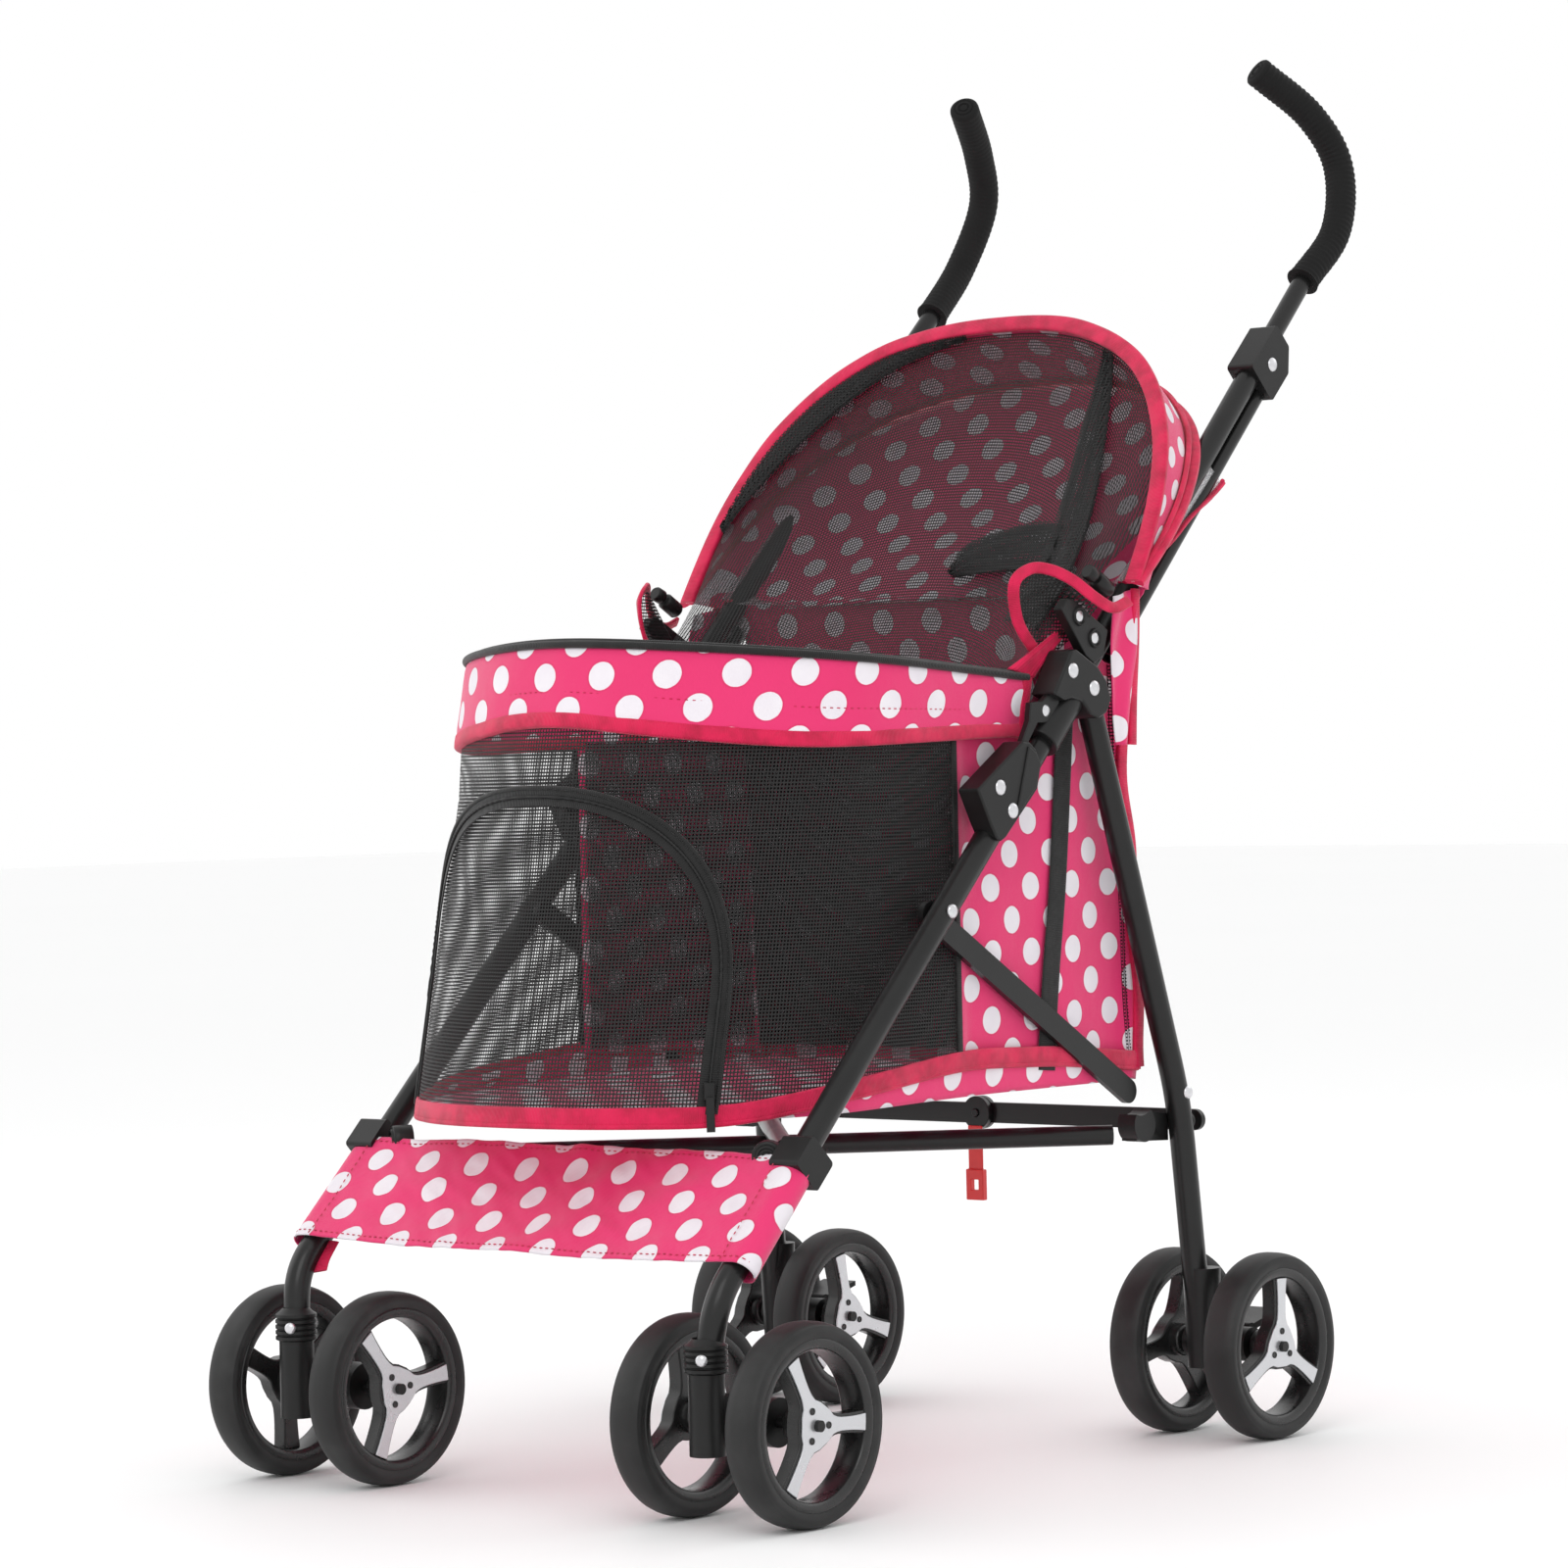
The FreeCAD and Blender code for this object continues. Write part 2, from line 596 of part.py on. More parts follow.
def make_rear_brace():
    """Two flat halves across the rear legs, and the pin and release tab on the left one."""
    end_x = rear_leg_points()[1].x
    tall, thick, z = size("brace_height"), size("brace_thick"), size("brace_z")
    left_y = size("brace_y") - thick - size("brace_gap")
    pin_r = size("brace_pin_dia") / 2
    for name, sign, y in (("left_brace", -1, left_y), ("right_brace", 1, size("brace_y"))):
        arm = Part.makeBox(end_x, thick, tall, Vector(0 if sign > 0 else -end_x, y, z - tall / 2))
        eye = Part.makeCylinder(size("brace_eye"), thick, Vector(0, y, z), Vector(0, 1, 0))
        end = Part.makeCylinder(tall / 2, thick, Vector(sign * end_x, y, z), Vector(0, 1, 0))
        half = arm.fuse([eye, end]).removeSplitter()
        bore_start = Vector(0, y - thick, z)
        bore = Part.makeCylinder(pin_r + size("axle_play"), 3 * thick, bore_start, Vector(0, 1, 0))
        half = half.cut(bore)
        if sign < 0:
            pin = Part.makeCylinder(pin_r, thick + 1.5, Vector(0, y - 1.5, z), Vector(0, 1, 0))
            half = Part.makeCompound([half, pin])
        feature(name, half)
    tab_w, tab_tall, tab_thick = size("tab_width"), size("tab_tall"), size("tab_thick")
    strap_w = size("tab_strap")
    tab_z = z - 68.0
    strap = Part.makeBox(strap_w, 1.6, 34.0, Vector(-strap_w / 2, left_y - 1.7, tab_z + tab_tall))
    tab = Part.makeBox(tab_w, tab_thick, tab_tall, Vector(-tab_w / 2, left_y - 3.4, tab_z))
    hole = Part.makeBox(7.0, 3 * tab_thick, 8.0, Vector(-3.5, left_y - 2 * tab_thick, tab_z + 8.0))
    feature("release_tab", tab.cut(hole).fuse(strap).removeSplitter())


# Cabin.
def u_wire(half, front_y, rear_y, z):
    """Plan outline: a half circle in front, straight sides, a straight back."""
    centre_y = front_y + half
    left, right = Vector(-half, centre_y, z), Vector(half, centre_y, z)
    back_left, back_right = Vector(-half, rear_y, z), Vector(half, rear_y, z)
    return Part.Wire([
        Part.Arc(left, Vector(0, front_y, z), right).toShape(),
        Part.LineSegment(right, back_right).toShape(),
        Part.LineSegment(back_right, back_left).toShape(),
        Part.LineSegment(back_left, left).toShape(),
    ])


def cabin_solid(inset):
    """The cabin's outer form, or the same form inset by a wall."""
    wires = []
    for z, front, rear in (
        (size("cabin_low_z"), size("cabin_low_front"), size("cabin_low_rear")),
        (size("cabin_high_z"), size("cabin_high_front"), size("cabin_high_rear")),
    ):
        wires.append(u_wire(size("cabin_half") - inset, front + inset, rear - inset, z))
    return Part.makeLoft(wires, True, True)


def slab(points):
    """A (y, z) region right across the stroller."""
    return prism_x(points, -300.0, 300.0)


def door_outline(grow):
    """The door's D shape in the front view, pushed through the cabin's front."""
    half, top = size("door_half") + grow, size("door_top_z") + grow
    low_z, spring_z = size("cabin_low_z") - 20.0, 352.0
    y = -500.0
    corners = [Vector(x, y, z) for x, z in ((-half, low_z), (half, low_z), (half, spring_z), (-half, spring_z))]
    crown = Part.Ellipse(Vector(0, y, top), Vector(half, y, spring_z), Vector(0, y, spring_z)) \
        if top - spring_z > half \
        else Part.Ellipse(Vector(half, y, spring_z), Vector(0, y, top), Vector(0, y, spring_z))
    face = Part.Face(Part.makePolygon(corners + corners[:1]))
    dome_face = Part.Face(Part.Wire([crown.toShape()]))
    push = Vector(0, 260.0, 0)
    return face.extrude(push).fuse(dome_face.extrude(push)).removeSplitter()


def make_cabin():
    wall = size("cabin_wall")
    shell = cabin_solid(0.0).cut(cabin_solid(wall))
    low_z, high_z = size("cabin_low_z"), size("cabin_high_z")
    seam, gap = size("seam_y"), size("fabric_gap")
    end_y, end_z = size("rim_end_y"), size("rim_end_z")
    front = size("cabin_high_front") - 10.0
    far = size("cabin_low_front") - 20.0
    band_front = high_z - size("band_tall_front")
    band_end = end_z - size("band_tall_end")
    band_outline = [(end_y, band_end), (end_y, end_z), (front, high_z), (far, high_z), (far, band_front)]
    band = slab(band_outline + [(front, band_front)])
    thick_shell = cabin_solid(0.0).cut(cabin_solid(3.0))
    feature("rim_band", thick_shell.common(band))
    share = (seam - end_y) / (front - end_y)
    band_seam = band_end + (band_front - band_end) * share
    floor_top = low_z + size("floor_thick") + gap
    mesh_region = slab([(seam - gap, floor_top), (seam - gap, band_seam - gap), (front, band_front - gap),
                        (far, band_front - gap), (far, floor_top)])
    mesh = shell.common(mesh_region)
    feature("cabin_mesh", mesh.cut(door_outline(gap)))
    feature("front_door", mesh.common(door_outline(0.0)))
    rear = size("cabin_low_rear") + 20.0
    side_region = slab([(seam, floor_top), (rear, floor_top), (rear, end_z), (end_y + gap, end_z),
                        (end_y + gap, band_end - gap), (seam, band_seam - gap)])
    feature("cabin_panel", shell.common(side_region))
    floor = cabin_solid(0.0).common(slab([(far, low_z), (rear, low_z), (rear, low_z + size("floor_thick")),
                                          (far, low_z + size("floor_thick"))]))
    feature("cabin_floor", floor)


# Hood.
def hood_wire(inset):
    """Front outline of the hood in its own plane: x across, y up from the pivot."""
    half, tall = size("hood_half") - inset, size("hood_tall") - inset
    power = 2.0 / size("hood_squareness")
    points = []
    for k in range(13):
        turn = math.pi * k / 12
        across, up = math.cos(turn), math.sin(turn)
        side = -math.copysign(abs(across) ** power, across)
        points.append(Vector(half * side, size("hood_lift") + tall * up ** power, 0))
    curve = Part.BSplineCurve()
    curve.interpolate(points)
    return curve


def hood_band(inset, start_angle, sweep_angle):
    """A fan of fabric: the strip between two hood outlines, turned about the pivot line."""
    outer, inner = hood_wire(inset), hood_wire(inset + size("hood_wall"))
    ends = [
        Part.LineSegment(outer.EndPoint, inner.EndPoint).toShape(),
        Part.LineSegment(outer.StartPoint, inner.StartPoint).toShape(),
    ]
    face = Part.Face(Part.Wire(Part.__sortEdges__([outer.toShape(), ends[0], inner.toShape(), ends[1]])))
    fan = face.revolve(Vector(0, 0, 0), Vector(1, 0, 0), -sweep_angle)
    turn = Rotation(Vector(1, 0, 0), 90.0 - start_angle)
    fan.Placement = Placement(Vector(0, size("hood_y"), size("hood_z")), turn)
    return fan


def make_hood():
    tilt = size("hood_tilt")
    band_angle = size("hood_band_angle")
    step = size("hood_wall") + size("fabric_gap")
    front = hood_band(0.0, tilt, band_angle)
    feature("hood_front", front)
    feature("hood_pleat", hood_band(step, tilt + 1.0, band_angle))
    back = hood_band(2 * step, tilt + 2.0, band_angle)
    outline = hood_wire(2 * step)
    base = Part.LineSegment(outline.StartPoint, outline.EndPoint).toShape()
    face = Part.Face(Part.Wire(Part.__sortEdges__([outline.toShape(), base])))
    sheet_back = face.extrude(Vector(0, 0, -2.0))
    turn = Rotation(Vector(1, 0, 0), 90.0 - tilt - 2.0 - band_angle)
    sheet_back.Placement = Placement(Vector(0, size("hood_y"), size("hood_z")), turn)
    feature("back_panel", back.fuse(sheet_back).removeSplitter())


# Footrest.
def make_footrest():
    """Fabric panel laced between the two front legs."""
    corners = []
    for z in (size("foot_top_z"), size("foot_low_z")):
        y = low.y + (z - low.z) * slope.y / slope.z
        corners.append(Vector(on_line(y).x - leg_r - 1.0, y, z))
    top, bottom = corners
    far_top, far_bottom = Vector(-top.x, top.y, top.z), Vector(-bottom.x, bottom.y, bottom.z)
    face = Part.Face(Part.makePolygon([far_top, top, bottom, far_bottom, far_top]))
    normal = Vector(0, -math.sin(pitch), math.cos(pitch))
    panel = face.extrude(normal * size("foot_thick"))
    clearance = sweep(front_leg_path(), leg_r + size("fabric_gap"))
    panel = panel.cut([clearance, mirrored(clearance)])
    feature("footrest_panel", max(panel.Solids, key=lambda piece: piece.Volume))


make_wheels()
leg_solid, handle_solid, rear_solid = make_side_tubes()
make_joint_castings(leg_solid, handle_solid, rear_solid)
link_stop = make_side_link()
make_brackets(link_stop, leg_solid, rear_solid)
make_rivets()
make_caster(leg_solid)
make_rear_foot(rear_solid)
make_cross_bars()
make_rear_brace()
make_cabin()
make_hood()
make_footrest()
doc.recompute()

for item in doc.Objects:
    if any(word in item.State for word in ("Invalid", "Error")):
        raise RuntimeError(f"{item.Name} failed: {item.State}")
os.makedirs("parts", exist_ok=True)
for label, item in nodes.items():
    if item.Shape.isNull() or not item.Shape.isValid() or not item.Shape.Solids:
        raise RuntimeError(f"{label} has no valid shape")
    item.Shape.exportStep(f"parts/{label}.step")
print(len(nodes), "sub-parts")
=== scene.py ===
import bmesh
import bpy
import json
import math
import random
from mathutils import Matrix, Vector, noise

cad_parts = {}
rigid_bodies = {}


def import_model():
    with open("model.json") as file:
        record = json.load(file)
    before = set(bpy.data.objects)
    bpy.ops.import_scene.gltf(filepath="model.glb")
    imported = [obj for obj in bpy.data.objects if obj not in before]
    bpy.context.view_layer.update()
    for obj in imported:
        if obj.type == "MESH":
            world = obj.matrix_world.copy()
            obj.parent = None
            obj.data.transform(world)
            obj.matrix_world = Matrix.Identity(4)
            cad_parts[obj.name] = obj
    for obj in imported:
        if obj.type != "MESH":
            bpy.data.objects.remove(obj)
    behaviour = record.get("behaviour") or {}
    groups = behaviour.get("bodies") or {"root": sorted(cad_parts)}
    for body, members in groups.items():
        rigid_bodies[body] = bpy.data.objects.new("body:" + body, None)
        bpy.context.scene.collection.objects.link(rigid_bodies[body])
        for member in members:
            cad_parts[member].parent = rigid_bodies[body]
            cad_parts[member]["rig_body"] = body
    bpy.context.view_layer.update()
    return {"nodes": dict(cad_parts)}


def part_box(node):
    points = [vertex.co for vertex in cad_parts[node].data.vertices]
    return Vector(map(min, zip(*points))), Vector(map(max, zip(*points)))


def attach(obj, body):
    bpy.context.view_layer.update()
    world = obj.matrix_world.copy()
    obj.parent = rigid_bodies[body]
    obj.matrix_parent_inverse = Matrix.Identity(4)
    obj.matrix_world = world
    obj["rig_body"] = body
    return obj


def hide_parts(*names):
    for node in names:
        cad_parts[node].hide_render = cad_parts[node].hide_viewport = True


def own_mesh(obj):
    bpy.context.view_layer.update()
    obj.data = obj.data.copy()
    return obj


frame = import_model()
nodes = frame["nodes"]
random.seed(11)

view = {"place": (2.4973, -2.9852, 0.5170), "azimuth": 40.59, "tilt": 0.25, "roll": -1.25, "lens": 117.97}


def makeCamera():
    azimuth, tilt, roll = (math.radians(view[k]) for k in ("azimuth", "tilt", "roll"))
    back = Vector((math.sin(azimuth) * math.cos(tilt), -math.cos(azimuth) * math.cos(tilt), math.sin(tilt)))
    level = (-back).cross(Vector((0, 0, 1))).normalized()
    upright = level.cross(-back)
    right = math.cos(roll) * level + math.sin(roll) * upright
    up = math.cos(roll) * upright - math.sin(roll) * level
    lens = bpy.data.cameras.new("camera")
    lens.sensor_width = 36
    lens.lens = view["lens"]
    camera = bpy.data.objects.new("camera", lens)
    camera.matrix_world = Matrix.Translation(view["place"]) @ Matrix((right, up, back)).transposed().to_4x4()
    bpy.context.scene.collection.objects.link(camera)
    bpy.context.scene.camera = camera


# shader maths: a Value is one output of a node, and an expression on values adds Math nodes
class Value:
    def __init__(self, finish, socket):
        self.finish, self.socket = finish, socket

    def math(self, operation, *others, first=None):
        numbers = [self, *others] if first is None else [first, self]
        return self.finish.node("Math", {"operation": operation}, dict(enumerate(numbers)))

    def __add__(self, other):
        return self.math("ADD", other)

    def __sub__(self, other):
        return self.math("SUBTRACT", other)

    def __rsub__(self, other):
        return self.math("SUBTRACT", first=other)

    def __mul__(self, other):
        return self.math("MULTIPLY", other)

    def __truediv__(self, other):
        return self.math("DIVIDE", other)

    def __pow__(self, other):
        return self.math("POWER", other)

    def __lt__(self, other):
        return self.math("LESS_THAN", other)

    def __gt__(self, other):
        return self.math("GREATER_THAN", other)

    __radd__, __rmul__ = __add__, __mul__


class Finish:
    def __init__(self, name, **look):
        self.material = bpy.data.materials.new(name)
        self.material.use_nodes = True
        self.tree = self.material.node_tree
        self.shader = self.tree.nodes["Principled BSDF"]
        for socket, number in look.items():
            self.feed(self.shader.inputs[socket.replace("_", " ")], number)

    def feed(self, socket, given):
        if isinstance(given, Value):
            self.tree.links.new(given.socket, socket)
        else:
            socket.default_value = given

    def node(self, kind, settings=None, sockets=None, out=0):
        made = self.tree.nodes.new("ShaderNode" + kind)
        for key, setting in (settings or {}).items():
            if key == "stops":
                while len(made.color_ramp.elements) < len(setting):
                    made.color_ramp.elements.new(0.5)
                for element, (place, colour) in zip(made.color_ramp.elements, setting):
                    element.position, element.color = place, colour
            else:
                setattr(made, key, setting)
        for key, given in (sockets or {}).items():
            self.feed(made.inputs[key], given)
        return Value(self, made.outputs[out])

    def parts(self, vector):
        split = self.node("SeparateXYZ", {}, {0: vector})
        return [Value(self, split.socket.node.outputs[k]) for k in range(3)]

    def uv(self):
        return self.node("TexCoord", out="UV")

    def here(self):
        return self.node("TexCoord", out="Object")

    def noise(self, scale, detail=3.0, where=None, roughness=0.5):
        return self.node("TexNoise", {}, {"Vector": where or self.here(), "Scale": scale, "Detail": detail,
                                         "Roughness": roughness})

    def mix(self, factor, first, second, blend="MIX"):
        return self.node("Mix", {"data_type": "RGBA", "blend_type": blend}, {0: factor, 6: first, 7: second}, out=2)

    def ramp(self, factor, low, high, start=0.0, end=1.0):
        settings = {"interpolation_type": "SMOOTHSTEP"}
        return self.node("MapRange", settings, {0: factor, 1: low, 2: high, 3: start, 4: end})

    def bump(self, height, distance, strength=1.0, under=None):
        sockets = {"Strength": strength, "Distance": distance, "Height": height}
        if under:
            sockets["Normal"] = under
        return self.node("Bump", {}, sockets)

    def show(self, **sockets):
        for name, given in sockets.items():
            self.feed(self.shader.inputs[name.replace("_", " ")], given)
        return self.material


def grey(level):
    return (level, level, level, 1)


finishes = {
    "pink": (0.80, 0.030, 0.165, 1), "pinkDeep": (0.62, 0.016, 0.10, 1), "dot": (0.76, 0.70, 0.77, 1),
    "crimson": (0.70, 0.006, 0.075, 1), "crimsonDeep": (0.46, 0.004, 0.045, 1),
    "dotSize": 0.020, "dotPitch": 0.048, "netPitch": 0.0026, "netThread": 0.41,
}


def makeFrameBlack():
    f = Finish("frameBlack", Coat_Weight=0.12, Coat_Roughness=0.10, Specular_IOR_Level=0.3)
    cloud, orange = f.noise(35), f.noise(900, 2)
    return f.show(Base_Color=f.mix(cloud, grey(0.005), grey(0.012)), Roughness=cloud * 0.12 + 0.24,
                  Normal=f.bump(orange, 0.0002, 0.25))


def makeJointPlastic():
    f = Finish("jointPlastic", Specular_IOR_Level=0.28)
    cloud, grain = f.noise(60), f.noise(1400, 2, roughness=0.7)
    return f.show(Base_Color=f.mix(cloud, grey(0.007), grey(0.015)), Roughness=cloud * 0.14 + 0.30,
                  Normal=f.bump(grain, 0.0002, 0.35))


def makeGripFoam():
    f = Finish("gripFoam", Specular_IOR_Level=0.15)
    cells, cloud = f.node("TexVoronoi", {}, {"Vector": f.here(), "Scale": 900}), f.noise(40)
    return f.show(Base_Color=f.mix(cloud, grey(0.007), grey(0.014)), Roughness=0.62 + cloud * 0.15,
                  Normal=f.bump(cells, 0.0003, 0.5))


def makeRivetSteel():
    f = Finish("rivetSteel", Metallic=1.0)
    cloud = f.noise(300)
    return f.show(Base_Color=f.mix(cloud, (0.58, 0.58, 0.60, 1), (0.80, 0.80, 0.82, 1)),
                  Roughness=cloud * 0.2 + 0.2, Normal=f.bump(f.noise(2500, 1), 0.0001, 0.3))


def makeTyreRubber():
    f = Finish("tyreRubber", Specular_IOR_Level=0.35)
    dust, grain = f.noise(22, 5), f.noise(1100, 2)
    return f.show(Base_Color=f.mix(f.ramp(dust, 0.4, 0.75), grey(0.012), grey(0.030)),
                  Roughness=dust * 0.2 + 0.42, Normal=f.bump(grain, 0.0002, 0.3))


def makeRimPlastic():
    f = Finish("rimPlastic", Specular_IOR_Level=0.5)
    cloud = f.noise(80)
    return f.show(Base_Color=f.mix(cloud, grey(0.008), grey(0.018)), Roughness=cloud * 0.12 + 0.22,
                  Normal=f.bump(f.noise(700, 2), 0.0002, 0.2))


def makeTrimSilver():
    f = Finish("trimSilver", Coat_Weight=0.3, Coat_Roughness=0.1)
    flake, cloud = f.noise(2600, 1), f.noise(50)
    return f.show(Base_Color=f.mix(flake, (0.50, 0.51, 0.53, 1), (0.74, 0.75, 0.77, 1)), Metallic=0.65 + cloud * 0.2,
                  Roughness=0.24 + cloud * 0.1, Normal=f.bump(flake, 0.0001, 0.15))


def makeRedPlastic():
    f = Finish("redPlastic", Coat_Weight=0.2)
    cloud = f.noise(90)
    return f.show(Base_Color=f.mix(cloud, (0.62, 0.008, 0.012, 1), (0.78, 0.02, 0.02, 1)), Roughness=cloud * 0.1 + 0.28,
                  Normal=f.bump(f.noise(900, 2), 0.0002, 0.2))


def weave(f, where, pitch):
    x, y, _ = f.parts(where)
    wave = [(axis * (2 * math.pi / pitch)).math("SINE") for axis in (x, y)]
    return wave[0] * wave[1]


def makeDottedFabric():
    f = Finish("dottedFabric", Sheen_Weight=0.35, Sheen_Roughness=0.4, Specular_IOR_Level=0.3)
    place = f.node("VectorMath", {"operation": "SCALE"}, {0: f.uv(), "Scale": 1 / finishes["dotPitch"]})
    rings = []
    for shift in (0.0, 0.5):
        moved = f.node("VectorMath", {"operation": "ADD"}, {0: place, 1: (shift, shift, 0.0)})
        cell = f.node("VectorMath", {"operation": "FRACTION"}, {0: moved})
        middle = f.node("VectorMath", {"operation": "SUBTRACT"}, {0: cell, 1: (0.5, 0.5, 0.0)})
        flat = f.node("VectorMath", {"operation": "MULTIPLY"}, {0: middle, 1: (1.0, 1.0, 0.0)})
        rings.append(f.node("VectorMath", {"operation": "LENGTH"}, {0: flat}, out="Value"))
    near = rings[0].math("MINIMUM", rings[1]) * finishes["dotPitch"] + (f.noise(260, 2) - 0.5) * 0.0006
    radius = finishes["dotSize"] / 2
    dot = f.ramp(near, radius - 0.0003, radius + 0.0003, 1.0, 0.0)
    outline = f.ramp((near - radius - 0.0006).math("ABSOLUTE"), 0.0002, 0.0012, 1.0, 0.0)
    cloth = f.mix(f.noise(9, 4), finishes["pink"], finishes["pinkDeep"], "MIX")
    shade = f.mix(f.ramp(f.noise(7, 3), 0.3, 0.8, 0.0, 0.55), finishes["pink"], cloth)
    edged = f.mix(outline * 0.45, shade, finishes["pinkDeep"])
    white = f.mix(f.noise(30), finishes["dot"], (0.90, 0.87, 0.90, 1))
    threads = weave(f, f.uv(), 0.0011)
    creases = f.bump(f.noise(26, 4, roughness=0.55), 0.004, 0.35)
    return f.show(Base_Color=f.mix(dot, edged, white), Roughness=0.55 + threads * 0.06,
                  Normal=f.bump(threads, 0.0002, 0.5, creases))


def makeNet():
    f = Finish("blackNet", Specular_IOR_Level=0.35)
    x, y, _ = f.parts(f.uv())
    pitch, thread = finishes["netPitch"], finishes["netThread"]
    lines = [(axis / pitch).math("FRACT") < thread for axis in (x, y)]
    cover = lines[0].math("MAXIMUM", lines[1])
    return f.show(Base_Color=f.mix(f.noise(200), grey(0.006), grey(0.016)), Roughness=0.5 + f.noise(400) * 0.15,
                  Alpha=cover, Normal=f.bump(weave(f, f.uv(), pitch), 0.0004, 0.6))


def makeBinding(name, light, deep, ribs):
    f = Finish(name, Sheen_Weight=0.25, Sheen_Roughness=0.4, Specular_IOR_Level=0.3)
    run, _, _ = f.parts(f.uv())
    rib = (run * (2 * math.pi / ribs)).math("SINE")
    cloud = f.noise(60, 3)
    creases = f.bump(f.noise(70, 3), 0.002, 0.4)
    return f.show(Base_Color=f.mix(f.ramp(cloud, 0.35, 0.75), light, deep), Roughness=0.5 + cloud * 0.15,
                  Normal=f.bump(rib, 0.0003, 0.5, creases))


def makeVinyl():
    f = Finish("clearVinyl", Transmission_Weight=0.55, IOR=1.3, Specular_IOR_Level=0.6)
    haze = f.noise(30, 4)
    return f.show(Base_Color=f.mix(haze, (0.86, 0.86, 0.90, 1), (0.97, 0.97, 0.98, 1)), Roughness=0.08 + haze * 0.15,
                  Alpha=0.42 + haze * 0.2, Normal=f.bump(haze, 0.004, 0.5))


looks = {
    "frame_black": makeFrameBlack(), "joint_plastic": makeJointPlastic(), "grip_foam": makeGripFoam(),
    "rivet_steel": makeRivetSteel(), "tyre_rubber": makeTyreRubber(), "rim_plastic": makeRimPlastic(),
    "trim_silver": makeTrimSilver(), "red_plastic": makeRedPlastic(), "dotted_fabric": makeDottedFabric(),
    "black_mesh": makeNet(), "clear_vinyl": makeVinyl(),
    "crimson_fabric": makeBinding("crimsonBinding", finishes["crimson"], finishes["crimsonDeep"], 0.0012),
    "black_webbing": makeBinding("blackWebbing", grey(0.006), grey(0.014), 0.0016),
}
print("materials:", len(looks))

fold = {"joint": "fold", "axis": (1, 0, 0), "anchor": (0, 0, 0), "keep": 0.57, "legKeep": 0.613}
seamless = ("cabin", "hood", "hood_pleat", "front_door")


# a mesh from rows of points; wrap joins the ends of a row, loop the last row to the first
def grid(name, rows, uvs, wrap=False, loop=False, caps=False):
    across = len(rows[0])
    faces, corners = [], []
    for i in range(len(rows) if loop else len(rows) - 1):
        j = (i + 1) % len(rows)
        for k in range(across if wrap else across - 1):
            n = (k + 1) % across
            faces.append((i * across + k, i * across + n, j * across + n, j * across + k))
            corners += [uvs[i][k], uvs[i][k + 1], uvs[i + 1][k + 1], uvs[i + 1][k]]
    if caps:
        last = (len(rows) - 1) * across
        faces += [tuple(reversed(range(across))), tuple(range(last, last + across))]
        corners += list(reversed(uvs[0][:across])) + uvs[-1][:across]
    return build(name, [p for row in rows for p in row], faces, corners)


def build(name, points, faces, corners=None, sharp=50):
    mesh = bpy.data.meshes.new(name)
    mesh.from_pydata([tuple(p) for p in points], [], faces)
    layer = mesh.uv_layers.new(name="uv")
    if corners:
        layer.data.foreach_set("uv", [c for pair in corners for c in pair])
    work = bmesh.new()
    work.from_mesh(mesh)
    bmesh.ops.recalc_face_normals(work, faces=work.faces)
    work.to_mesh(mesh)
    work.free()
    mesh.polygons.foreach_set("use_smooth", [True] * len(mesh.polygons))
    mesh.set_sharp_from_angle(angle=math.radians(sharp))
    piece = bpy.data.objects.new(name, mesh)
    bpy.context.scene.collection.objects.link(piece)
    return piece


# gives a piece its finish and body, adds thickness or a bevel when asked, hides the parts it replaces, and gives pieces
# on soft bodies a mesh of their own
def settle(piece, body, slot, *replaced, thick=0.0, bevel=0.0, soft=None, keep=None):
    piece.data.materials.clear()
    piece.data.materials.append(looks[slot])
    if thick:
        skin = piece.modifiers.new("thickness", "SOLIDIFY")
        skin.thickness, skin.offset = thick, 0
    if bevel:
        edge = piece.modifiers.new("bevel", "BEVEL")
        edge.width, edge.segments, edge.limit_method = bevel, 3, "ANGLE"
        edge.angle_limit = math.radians(32)
        edge.harden_normals = True
    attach(piece, body)
    if replaced:
        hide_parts(*replaced)
    if body in seamless if soft is None else soft:
        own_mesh(piece)
    return piece


def frames(path, across=None, loop=False):
    found, side = [], None
    for i, point in enumerate(path):
        ahead = path[(i + 1) % len(path)] if loop or i + 1 < len(path) else point
        behind = path[i - 1] if loop or i else point
        tangent = (ahead - behind).normalized()
        side = across[i] if across else side or tangent.orthogonal()
        side = (side - tangent * side.dot(tangent)).normalized()
        found.append((side, tangent.cross(side)))
    return found


def sweep(name, path, section, across=None, loop=False, grow=None):
    girth = [0.0]
    for k in range(len(section)):
        girth.append(girth[-1] + math.dist(section[k], section[(k + 1) % len(section)]))
    rows, uvs, run = [], [], 0.0
    for i, (point, (a, b)) in enumerate(zip(path, frames(path, across, loop))):
        run += (point - path[i - 1]).length if i else 0.0
        size = grow(run) if grow else 1.0
        rows.append([point + (a * x + b * y) * size for x, y in section])
        uvs.append([(run, g) for g in girth])
    if loop:
        uvs.append([(run + (path[0] - path[-1]).length, g) for g in girth])
    return grid(name, rows, uvs, wrap=True, loop=loop, caps=not loop)


def ring(radius, count=14):
    return [(radius * math.cos(2 * math.pi * k / count), radius * math.sin(2 * math.pi * k / count))
            for k in range(count)]


def flat(width, thick, count=16, square=0.4):
    found = []
    for k in range(count):
        c, s = math.cos(2 * math.pi * k / count), math.sin(2 * math.pi * k / count)
        found.append((width / 2 * math.copysign(abs(c) ** square, c), thick / 2 * math.copysign(abs(s) ** 0.7, s)))
    return found


